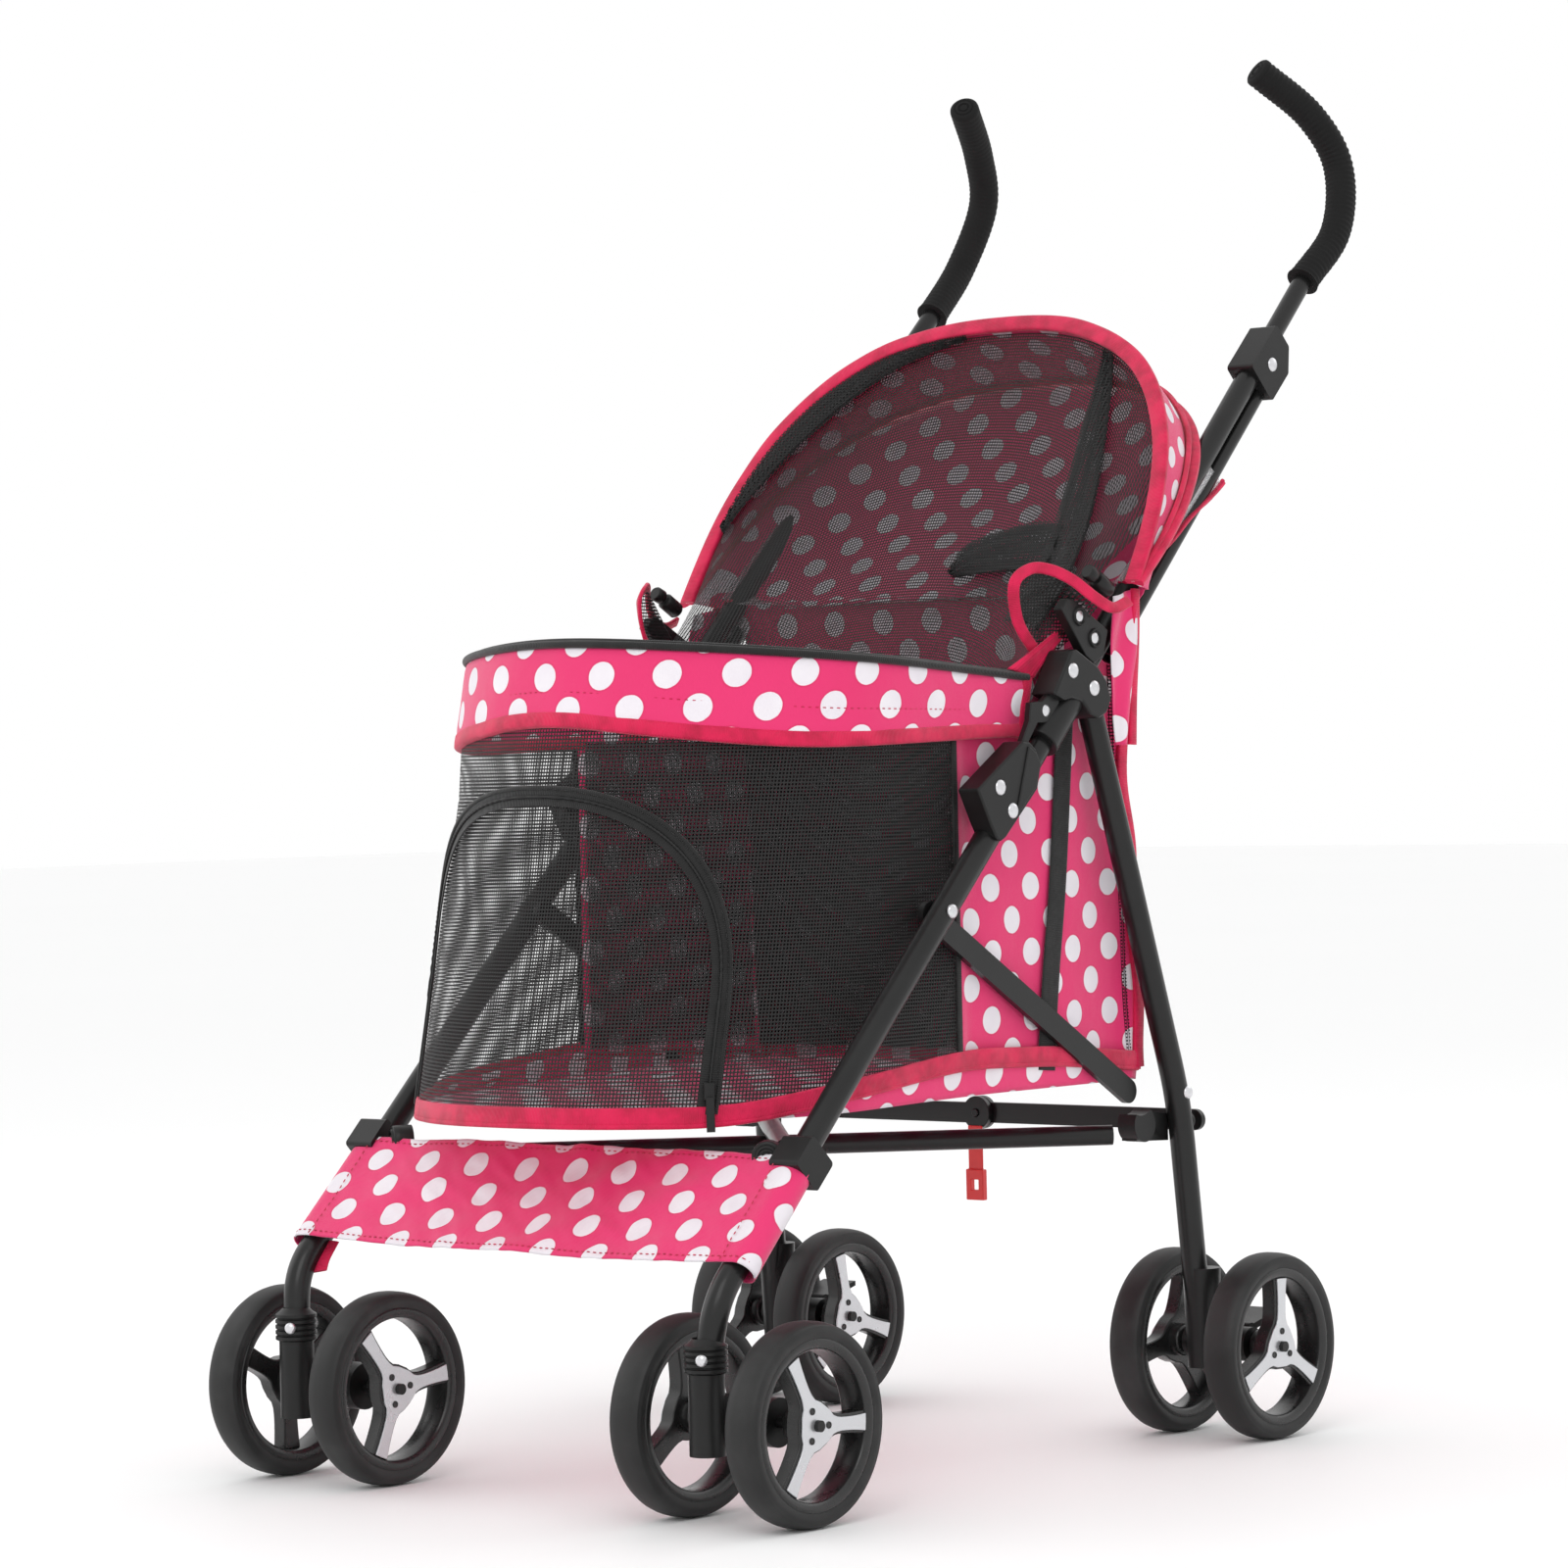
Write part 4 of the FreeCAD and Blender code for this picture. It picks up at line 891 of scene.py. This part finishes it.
def makeWings():
    for side, sign in (("left", -1), ("right", 1)):
        path = smooth([(sign * x, y, z) for x, y, z in wing], 10)
        facing = Vector((sign * 0.62, -0.72, 0.30)).normalized()
        tangents = [(path[min(i + 1, len(path) - 1)] - path[max(i - 1, 0)]).normalized() for i in range(len(path))]
        settle(sweep(side + "_wing_binding", path, flat(0.0088, 0.0034), [facing.cross(way) for way in tangents]), "cabin",
               "crimson_fabric")
        corner = Vector((sign * 0.197, 0.034, 0.606))
        rows = [[p.lerp(corner, k / 14) for k in range(15)] for p in path[:-16]]
        uvs = [[(p.y, p.z) for p in row] for row in rows]
        settle(grid(side + "_wing_net", rows, uvs), "cabin", "black_mesh")
        edges = [smooth([(sign * skirt["out"], y, z) for y, z in skirt[edge]], 12) for edge in ("front", "rear")]
        rows = [[a.lerp(b, k / 16) + Vector((sign * 0.0022 * math.sin(k * 0.4 + i * 0.15), 0, 0)) for k in range(17)]
                for i, (a, b) in enumerate(zip(*edges))]
        uvs = [[(p.y + 0.004, p.z + 0.016) for p in row] for row in rows]
        settle(grid(side + "_hood_skirt", rows, uvs), side + "_side", "dotted_fabric", thick=0.001)
        settle(sweep(side + "_skirt_binding", edges[1], flat(0.0085, 0.0040), [Vector((0, 1, 0))] * len(edges[1])), side + "_side",
               "crimson_fabric")
        # loop of cloth from the rim's end to the casting
        top, foot = Vector((sign * 0.1925, 0.024, 0.609)), Vector((sign * 0.1865, -0.018, 0.577))
        rows = [[top.lerp(foot, i / 20) + Vector((sign * 0.0014 * math.sin(k * 1.3 + i * 0.1), 0.006 + 0.010 * i / 20, -0.004)) *
                 (k / 12 * 2 - 1) * (0.5 + 0.5 * i / 20) for k in range(13)] for i in range(21)]
        uvs = [[(k * 0.0012, i * 0.0026) for k in range(13)] for i in range(21)]
        settle(grid(side + "_casting_strap", rows, uvs), side + "_side", "crimson_fabric", thick=0.0012)
        for name, first, last, radius in (("upper", (0.0270, 0.6520), (0.0361, 0.6483), 0.0058),
                                          ("lower", (0.0380, 0.6465), (0.0532, 0.6376), 0.0066)):
            a, b = (Vector((sign * 0.2135, y, z)) for y, z in (first, last))
            size = (b - a).length
            profile = [(0.0, -size / 2), (radius * 0.8, -size / 2), (radius, -size / 2 + 0.0016), (radius, size / 2 - 0.0016),
                       (radius * 0.8, size / 2), (0.0, size / 2)]
            settle(lathe(f"{side}_hood_clip_{name}", profile, b - a, (a + b) / 2, 28, loop=False), side + "_side",
                   "joint_plastic")


def makePocket():
    angle = math.radians(hood["tilt"] + hood["fan"] + 4)
    up = Vector((0, math.sin(angle), math.cos(angle)))
    away = Vector((0, math.cos(angle), -math.sin(angle)))
    base = Vector((0, hood["y"], hood["z"]))
    rows, uvs = [], []
    for i in range(31):
        rise = lerp(0.020, 0.168, i / 30)
        row, places = [], []
        for k in range(61):
            x = lerp(-1, 1, k / 60)
            depth = (0.016 + 0.050 * (i / 30) ** 0.7) * (1 - 0.5 * abs(x) ** 6) + 0.004
            depth += 0.003 * noise.noise(Vector((x * 5, rise * 22, 8.8)))
            row.append(base + up * (rise - 0.012 * (1 - x * x) * (i / 30)) + away * depth + Vector((x * 0.196, 0, 0)))
            places.append((x * 0.2, rise))
        rows.append(row)
        uvs.append(places)
    rim = [Vector(p) for p in rows[-1]]
    sides = [[row[0].copy() for row in rows], [row[-1].copy() for row in rows]]
    piece = settle(grid("rear_pocket", rows, uvs), "cabin", "clear_vinyl", thick=0.0006)
    settle(sweep("pocket_binding", rim, flat(0.0100, 0.0036), [up] * len(rim)), "cabin", "crimson_fabric")
    for side, edge in zip(("left", "right"), sides):
        inner = [base + up * (lerp(0.020, 0.168, i / 30) - 0.004) + away * 0.006 + Vector((p.x, 0, 0)) for i, p in enumerate(edge)]
        gusset = [[p.lerp(q, k / 6) for k in range(7)] for p, q in zip(edge, inner)]
        settle(grid(side + "_pocket_gusset", gusset, [[(k * 0.006, i * 0.005) for k in range(7)] for i in range(31)]), "cabin",
               "clear_vinyl", thick=0.0006)
        settle(sweep(side + "_pocket_edge", edge, flat(0.0080, 0.0030), [Vector((1, 0, 0))] * len(edge)), "cabin",
               "crimson_fabric")


makeHood()
makeCurtain()
makeFolds()
makeWings()
makePocket()
print("hood done")

# front legs: the straight line that the legs and handles follow
leg = {"low": Vector((0.2069, -0.300, 0.243)), "high": Vector((0.187, 0.350, 0.885)), "radius": 0.0095}
slope = (leg["high"] - leg["low"]).normalized()


def onLine(y, above=0.0, side=1):
    point = leg["low"].lerp(leg["high"], (y - leg["low"].y) / (leg["high"].y - leg["low"].y))
    point += Vector((0, -slope.z, slope.y)) * above
    return Vector((point.x * side, point.y, point.z))


footrest = {"topY": -0.304, "lowY": -0.3715, "wrap": 0.0112, "sag": 0.005, "hem": 0.009}


def makeFootrest():
    rows, uvs, down, across = [], [], 44, 120
    normal = Vector((0, -slope.z, slope.y)).normalized()
    for i in range(down + 1):
        u = i / down
        row, places = [], []
        for sign in (-1, 1):
            centre = onLine(lerp(footrest["topY"], footrest["lowY"], u), side=sign)
            arc = [math.radians(a) for a in range(-120, 91, 15)]
            bend = [centre + Vector((sign * math.cos(a) * footrest["wrap"], 0, 0)) + normal * math.sin(a) * footrest["wrap"]
                    for a in arc]
            if sign > 0:
                last, first = bend[-1], row[-1]
                for k in range(1, across):
                    v = k / across
                    dip = footrest["sag"] * math.sin(math.pi * v) * (0.6 + 0.4 * math.sin(math.pi * u))
                    dip += 0.0042 * noise.noise(Vector((v * 7 + u * 2.0, u * 2.4 - v, 1.3))) * math.sin(math.pi * v) ** 0.5
                    dip += 0.0016 * noise.noise(Vector((v * 26 - u * 7, u * 6, 7.9))) * math.sin(math.pi * v) ** 0.3
                    row.append(first.lerp(last, v) - normal * dip + slope * 0.005 * math.sin(math.pi * v) * (0.5 - u))
                bend.reverse()
            row += bend
        run = 0.0
        for k, point in enumerate(row):
            run += (point - row[k - 1]).length if k else 0.0
            places.append((run + u * 0.006, (footrest["topY"] - lerp(footrest["topY"], footrest["lowY"], u)) * 1.42 + 0.003))
        rows.append(row)
        uvs.append(places)
    top, low = [p.copy() for p in rows[2]], [p.copy() for p in rows[-3]]
    inner = [[row[j] + normal * 0.0008 for row in rows] for j in (17, -18)]
    piece = settle(grid("footrest_cover", rows, uvs), "cabin", "dotted_fabric", "footrest_panel", thick=0.0012, keep=fold["legKeep"])
    for name, path in (("top", top), ("low", low), ("left", inner[0]), ("right", inner[1])):
        path = [p + normal * 0.0008 for p in path]
        settle(stitches(f"footrest_{name}_stitches", path, tuple(normal)), "cabin", "crimson_fabric", keep=fold["legKeep"])
    tab = smooth([onLine(-0.366, -0.004, -1) + Vector((0.016, 0, 0)), onLine(-0.377, -0.006, -1) + Vector((0.016, 0, 0)),
                  onLine(-0.384, -0.008, -1) + Vector((0.018, 0, 0))], 6)
    settle(sweep("footrest_tab", tab, flat(0.016, 0.0022), [Vector((1, 0, 0))] * len(tab)), "cabin", "crimson_fabric",
           keep=fold["legKeep"])


makeFootrest()
print("footrest done")

wheels = {
    "tyre": [(0.058, 0.0118), (0.0600, 0.0128), (0.0625, 0.0135), (0.0652, 0.0134), (0.0659, 0.0128), (0.0668, 0.0128),
             (0.0676, 0.0122), (0.0688, 0.0100), (0.0696, 0.0070), (0.0700, 0.0035), (0.0700, 0.0)],
    "barrel": [(0.0582, 0.0108), (0.0588, 0.0118), (0.0580, 0.0126), (0.0562, 0.0128), (0.0540, 0.0122), (0.0522, 0.0112),
               (0.0512, 0.0096), (0.0510, 0.0), ],
    "hub": [(0.0, 0.0110), (0.0092, 0.0110), (0.0112, 0.0104), (0.0122, 0.0086), (0.0124, 0.0)],
    "trimIn": 0.010, "armEnd": 0.0512, "screw": 0.0036, "spokeWide": 0.0066, "spokeDeep": 0.0060,
}
spins = {"left_front_outer": 152, "left_front_inner": 128, "right_front_outer": 117, "right_front_inner": 95,
         "left_rear_outer": 95, "left_rear_inner": 102, "right_rear_outer": 88, "right_rear_inner": 70}


def armOutline(wide, hub, end, flare, spin, count=9):
    points = []
    for arm in range(3):
        middle = spin + 2 * math.pi * arm / 3
        radii = [lerp(hub, end, k / count) for k in range(count + 1)]
        half = [wide + 0.0062 * math.exp(-(r - hub) / 0.0042) + flare * ((r - hub) / (end - hub)) ** 3 for r in radii]
        for r, w in list(zip(radii, half)) + [(end + 0.0002, 0.0)] + [(r, -w) for r, w in reversed(list(zip(radii, half)))]:
            points.append((r * math.cos(middle) + w * math.sin(middle), r * math.sin(middle) - w * math.cos(middle)))
    return points


def slab(name, outline, centre, sign, low, high):
    count = len(outline)
    points = [Vector(centre) + Vector((sign * x, y, z)) for x in (low, high) for y, z in outline]
    faces = [tuple(range(count)), tuple(range(count, 2 * count))]
    faces += [(k, (k + 1) % count, count + (k + 1) % count, count + k) for k in range(count)]
    return build(name, points, faces, sharp=40)


def makeWheels():
    for name, spin in spins.items():
        body = name + "_wheel"
        lo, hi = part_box(name + "_tyre")
        centre = (lo + hi) / 2
        left, outer = name.startswith("left"), name.endswith("outer")
        out = -1 if left == outer else 1  # the trim faces away from its twin
        for part, slot in (("tyre", "tyre_rubber"), ("barrel", "rim_plastic")):
            half = wheels[part]
            profile = half + [(r, -x) for r, x in reversed(half[:-1])]
            settle(lathe(f"{name}_{part}_cover", profile, (1, 0, 0), centre, 96), body, slot,
                   name + ("_tyre" if part == "tyre" else "_rim"))
        hub = wheels["hub"]
        profile = hub + [(r, -x) for r, x in reversed(hub[:-1])]
        settle(lathe(name + "_hub", profile, (1, 0, 0), centre, 40, loop=False), body, "rim_plastic")
        angle = math.radians(spin)
        spokes = armOutline(wheels["spokeWide"], 0.0122, wheels["armEnd"], 0.0016, angle)
        settle(slab(name + "_spokes", spokes, centre, out, -0.002, wheels["trimIn"]), body, "rim_plastic", bevel=0.0012)
        trim = armOutline(wheels["spokeWide"] * 0.66, 0.0125, wheels["armEnd"] - 0.0004, 0.0016, angle)
        settle(slab(name + "_trim", trim, centre, out, wheels["trimIn"], wheels["trimIn"] + 0.0016), body, "trim_silver",
               bevel=0.0005)
        face = centre + Vector((out * (wheels["trimIn"] + 0.0014), 0, 0))
        screw = [(0.0, 0.0012), (0.0012, 0.0012), (0.0014, 0.0004), (0.0030, 0.0003), (0.0036, -0.0004), (0.0038, -0.001)]
        settle(lathe(name + "_screw", [(r, x * 1.0) for r, x in screw], (out, 0, 0), face, 24, loop=False), body,
               "rivet_steel")
        for arm in range(3):
            turn = angle + 2 * math.pi * arm / 3
            spot = face + Vector((0, 0.0115 * math.cos(turn), 0.0115 * math.sin(turn)))
            bore = [(0.0, 0.0004), (0.0014, 0.0004), (0.0019, 0.0010), (0.0024, 0.0009), (0.0026, 0.0), (0.0026, -0.001)]
            settle(lathe(f"{name}_bore_{arm}", bore, (out, 0, 0), spot, 20, loop=False), body, "rim_plastic")


makeWheels()
print("wheels done")

grip = {
    "route": [(0.180, 0.413, 0.980), (0.168, 0.393, 1.020), (0.1486, 0.351, 1.053)], "radius": 0.0122, "rib": 0.0046,
    "depth": 0.0008, "cap": 0.0040,
}


def makeGrips():
    for side, sign in (("left", -1), ("right", 1)):
        start = onLine(0.350)
        points = [start, start + Vector((0.003, 0.043, 0.042)), *(Vector(p) for p in grip["route"])]
        path = smooth([(sign * p.x, p.y, p.z) for p in points], 90)
        step, even = 0.0009, [path[0]]
        for point in path[1:]:
            if (point - even[-1]).length >= step:
                even.append(point)
        depth = grip["depth"] if sign > 0 else grip["depth"] * 0.45

        def swell(run, depth=depth):
            return 1 + (depth * (math.cos(2 * math.pi * run / grip["rib"]) - 1) * 0.5 + 0.0011 * math.exp(-run / 0.004)) / grip["radius"]

        settle(sweep(side + "_grip_sleeve", even, ring(grip["radius"], 36), grow=swell), side + "_side", "grip_foam",
               side + "_grip")
        end, way = even[-1], (even[-1] - even[-4]).normalized()
        cap = [(0.0, 0.0030), (0.0030, 0.0030), (0.0036, 0.0022), (0.0044, 0.0022), (0.0050, 0.0031), (0.0066, 0.0030),
               (0.0072, 0.0022), (0.0080, 0.0022), (0.0086, 0.0029), (0.0104, 0.0024), (0.0118, 0.0010), (0.0121, -0.0006)]
        settle(lathe(side + "_grip_cap", cap, way, end, 48, loop=False), side + "_side", "grip_foam")


def dome(name, spot, way, radius, body, slot="rivet_steel", rise=0.0022):
    profile = [(0.0, rise), (radius * 0.45, rise * 0.92), (radius * 0.8, rise * 0.62), (radius * 0.97, rise * 0.22),
               (radius, 0.0), (radius, -0.001)]
    return settle(lathe(name, profile, way, spot, 28, loop=False), body, slot)


# rounds the edges of a moulded or pressed part
def soften(node, slot, bevel=0.0012, angle=12):
    body = nodes[node]["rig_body"]
    work = bmesh.new()
    work.from_mesh(nodes[node].data)
    bmesh.ops.remove_doubles(work, verts=work.verts, dist=0.00002)
    bmesh.ops.dissolve_limit(work, angle_limit=math.radians(1.5), verts=work.verts, edges=work.edges)
    mesh = bpy.data.meshes.new(node + "_moulded")
    work.to_mesh(mesh)
    work.free()
    mesh.polygons.foreach_set("use_smooth", [True] * len(mesh.polygons))
    mesh.set_sharp_from_angle(angle=math.radians(angle))
    piece = bpy.data.objects.new(node + "_moulded", mesh)
    bpy.context.scene.collection.objects.link(piece)
    return settle(piece, body, slot, node, bevel=bevel)


rivets = {"radius": 0.0058, "outer": [(-0.080, 0.495), (-0.066, 0.478)], "casting": [(0.009, 0.579), (0.034, 0.566)]}
# outlines of the moulded parts, (y, z) seen from the side
moulded = {
    "knuckle": [(-0.106, 0.494), (-0.052, 0.528), (-0.044, 0.5275), (-0.037, 0.522), (-0.031, 0.511), (-0.036, 0.493),
                (-0.074, 0.459), (-0.080, 0.456), (-0.085, 0.458), (-0.092, 0.469)],
    "knuckleRaised": [(-0.047, 0.5245), (-0.038, 0.519), (-0.0335, 0.511), (-0.040, 0.494), (-0.064, 0.4725)],
    "casting": [(-0.014, 0.562), (0.008, 0.594), (0.014, 0.595), (0.040, 0.582), (0.050, 0.572), (0.0555, 0.558), (0.050, 0.548),
                (0.040, 0.5435), (0.030, 0.546), (0.020, 0.556), (0.008, 0.5585), (-0.001, 0.557)],
    "lug": [(-0.034, 0.556), (-0.020, 0.557), (-0.012, 0.562), (0.002, 0.562), (-0.004, 0.545), (-0.010, 0.541), (-0.026, 0.541),
            (-0.040, 0.524), (-0.046, 0.526), (-0.036, 0.543)],
    "bracket": [(0.002, 0.624), (0.010, 0.632), (0.016, 0.632), (0.058, 0.609), (0.052, 0.590), (0.040, 0.584), (0.030, 0.590)],
    "bracketInset": [(0.010, 0.6235), (0.015, 0.6265), (0.050, 0.606), (0.046, 0.594), (0.040, 0.591), (0.032, 0.594)],
}


def makeJoints():
    for side, sign in (("left", -1), ("right", 1)):
        body = side + "_side"
        soften(side + "_clamp", "joint_plastic", 0.0016)
        for name, outline, low, high, edge, replaced in (
                ("knuckle_shell", "knuckle", 0.1935, 0.2130, 0.0018, side + "_knuckle"),
                ("knuckle_face", "knuckleRaised", 0.2110, 0.2143, 0.0009, None), ("casting_shell", "casting", 0.1900, 0.2130, 0.0022, side + "_casting"),
                ("casting_lug", "lug", 0.2010, 0.2065, 0.0010, None), ("hood_plate", "bracket", 0.2000, 0.2090, 0.0012, None)):
            piece = slab(f"{side}_{name}", moulded[outline], (0, 0, 0), sign, low, high)
            settle(piece, body, "joint_plastic", *([replaced] if replaced else []), bevel=edge)
        sleeve = [onLine(lerp(-0.014, 0.030, k / 12), 0.001, sign) for k in range(13)]
        settle(sweep(side + "_casting_sleeve", sleeve, ring(0.0142, 32)), body, "joint_plastic", bevel=0.0014)
        out = Vector((sign, 0, 0))
        heads = [rivets["outer"], rivets["casting"]]
        index = 0
        for places, node in zip(heads, ("knuckle", "casting")):
            for y, z in places:
                face = 0.2130 * sign
                dome(f"{side}_rivet_{index}", (face, y, z), out, rivets["radius"], body)
                index += 1
        for y, z, wide in ((-0.296, 0.2475, 0.0), (-0.135, 0.408, 0.0), (-0.016, 0.550, -0.0015)):
            dome(f"{side}_rivet_{index}", (sign * (onLine(y).x + leg["radius"] + wide - 0.0008), y, z), out, 0.0052, body)
            index += 1
        dome(f"{side}_rivet_{index}", (sign * (onLine(0.287).x + 0.0118), 0.287, 0.816), out, 0.0056, body)
        dome(f"{side}_rivet_{index + 1}", (sign * 0.2145, 0.1375, 0.262), out, 0.0050, body)
        for k, (y, z) in enumerate(((0.023, 0.6190), (0.041, 0.6030))):
            cup = [(0.0, 0.0004), (0.0050, 0.0004), (0.0060, 0.0016), (0.0068, 0.0016), (0.0076, 0.0), (0.0076, -0.001)]
            settle(lathe(f"{side}_bracket_cup_{k}", cup, out, (sign * 0.2090, y, z), 28, loop=False), body, "joint_plastic")
            dome(f"{side}_bracket_screw_{k}", (sign * 0.2092, y, z), out, 0.0044, body, rise=0.0012)
        lo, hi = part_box(side + "_caster_collar")
        centre = (lo + hi) / 2
        radius, tall = 0.0150, hi.z - lo.z
        profile = [(0.0096, -tall / 2)]
        for k in range(5):
            z = lerp(-tall / 2, tall / 2, k / 5)
            profile += [(radius - 0.0012, z + 0.0001), (radius, z + 0.0009), (radius, z + 0.0030), (radius - 0.0012, z + 0.0038)]
        profile += [(radius - 0.003, tall / 2 + 0.001), (0.0096, tall / 2 + 0.0035)]
        piece = lathe(side + "_collar_ribs", profile, (0, 0, 1), (sign * 0.198, -0.3955, centre.z), 48)
        settle(piece, body, "joint_plastic", side + "_caster_collar")
        dome(side + "_collar_bolt", (sign * 0.198 + 0.0165 * 0.5, -0.3955 - 0.0140, centre.z), Vector((0.5, -0.87, 0)), 0.0042, body)
        soften(side + "_rear_socket", "joint_plastic", 0.0010)
        soften(side + "_seat_bracket", "joint_plastic", 0.0010)
        soften(side + "_caster_body", "joint_plastic", 0.0010)
        soften(side + "_brake_pedal", "joint_plastic", 0.0014)
        knob = [(0.0, 0.0120), (0.0030, 0.0120), (0.0036, 0.0108), (0.0056, 0.0108), (0.0062, 0.0120), (0.0078, 0.0118),
                (0.0084, 0.0104), (0.0100, 0.0104), (0.0106, 0.0098), (0.0110, 0.0060), (0.0110, -0.0040)]
        settle(lathe(side + "_bracket_knob", knob, (sign * 0.55, -0.83, 0), (sign * 0.176, -0.301, 0.2450), 36, loop=False), body,
               "joint_plastic")
        for part in ("front_leg", "handle_tube", "lock_strut", "rear_leg", "side_link"):
            nodes[f"{side}_{part}"].data.materials.clear()
            nodes[f"{side}_{part}"].data.materials.append(looks["frame_black"])
        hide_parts(side + "_rivets")
        for part in ("front_bar", "brace"):
            soften(f"{side}_{part}", "frame_black", 0.0006)
    soften("release_tab", "red_plastic", 0.0008)


makeGrips()
makeJoints()
print("joints done")

studio = {"floor": 40.0, "floorColour": 0.95, "world": 1.0}


def makeStudio():
    bpy.context.scene.view_settings.view_transform = "Standard"
    f = Finish("studioFloor", Specular_IOR_Level=0.35)
    f.show(Base_Color=f.mix(f.noise(0.6), grey(studio["floorColour"]), grey(studio["floorColour"] + 0.02)), Roughness=0.6)
    half = studio["floor"] / 2
    floor = build("floor", [(-half, -half, 0), (half, -half, 0), (half, half, 0), (-half, half, 0)], [(0, 1, 2, 3)])
    floor.data.materials.append(f.material)
    world = bpy.data.worlds.new("studio")
    bpy.context.scene.world = world
    world.use_nodes = True
    back = world.node_tree.nodes["Background"]
    back.inputs["Color"].default_value = (1, 1, 1, 1)
    back.inputs["Strength"].default_value = studio["world"]
    for name, place, aim, size, power in (
            ("key", (1.6, -2.6, 2.6), (0, 0, 0.5), 1.8, 22), ("fill", (-2.6, -1.4, 1.8), (0, 0, 0.5), 2.2, 12),
            ("back", (0.6, 2.8, 2.4), (0, 0, 0.5), 2.0, 10)):
        lamp = bpy.data.lights.new(name, "AREA")
        lamp.shape, lamp.size, lamp.energy = "SQUARE", size, power
        light = bpy.data.objects.new(name, lamp)
        light.location = place
        light.rotation_euler = (Vector(aim) - Vector(place)).to_track_quat("-Z", "Y").to_euler()
        bpy.context.scene.collection.objects.link(light)


makeStudio()
print("pieces done")
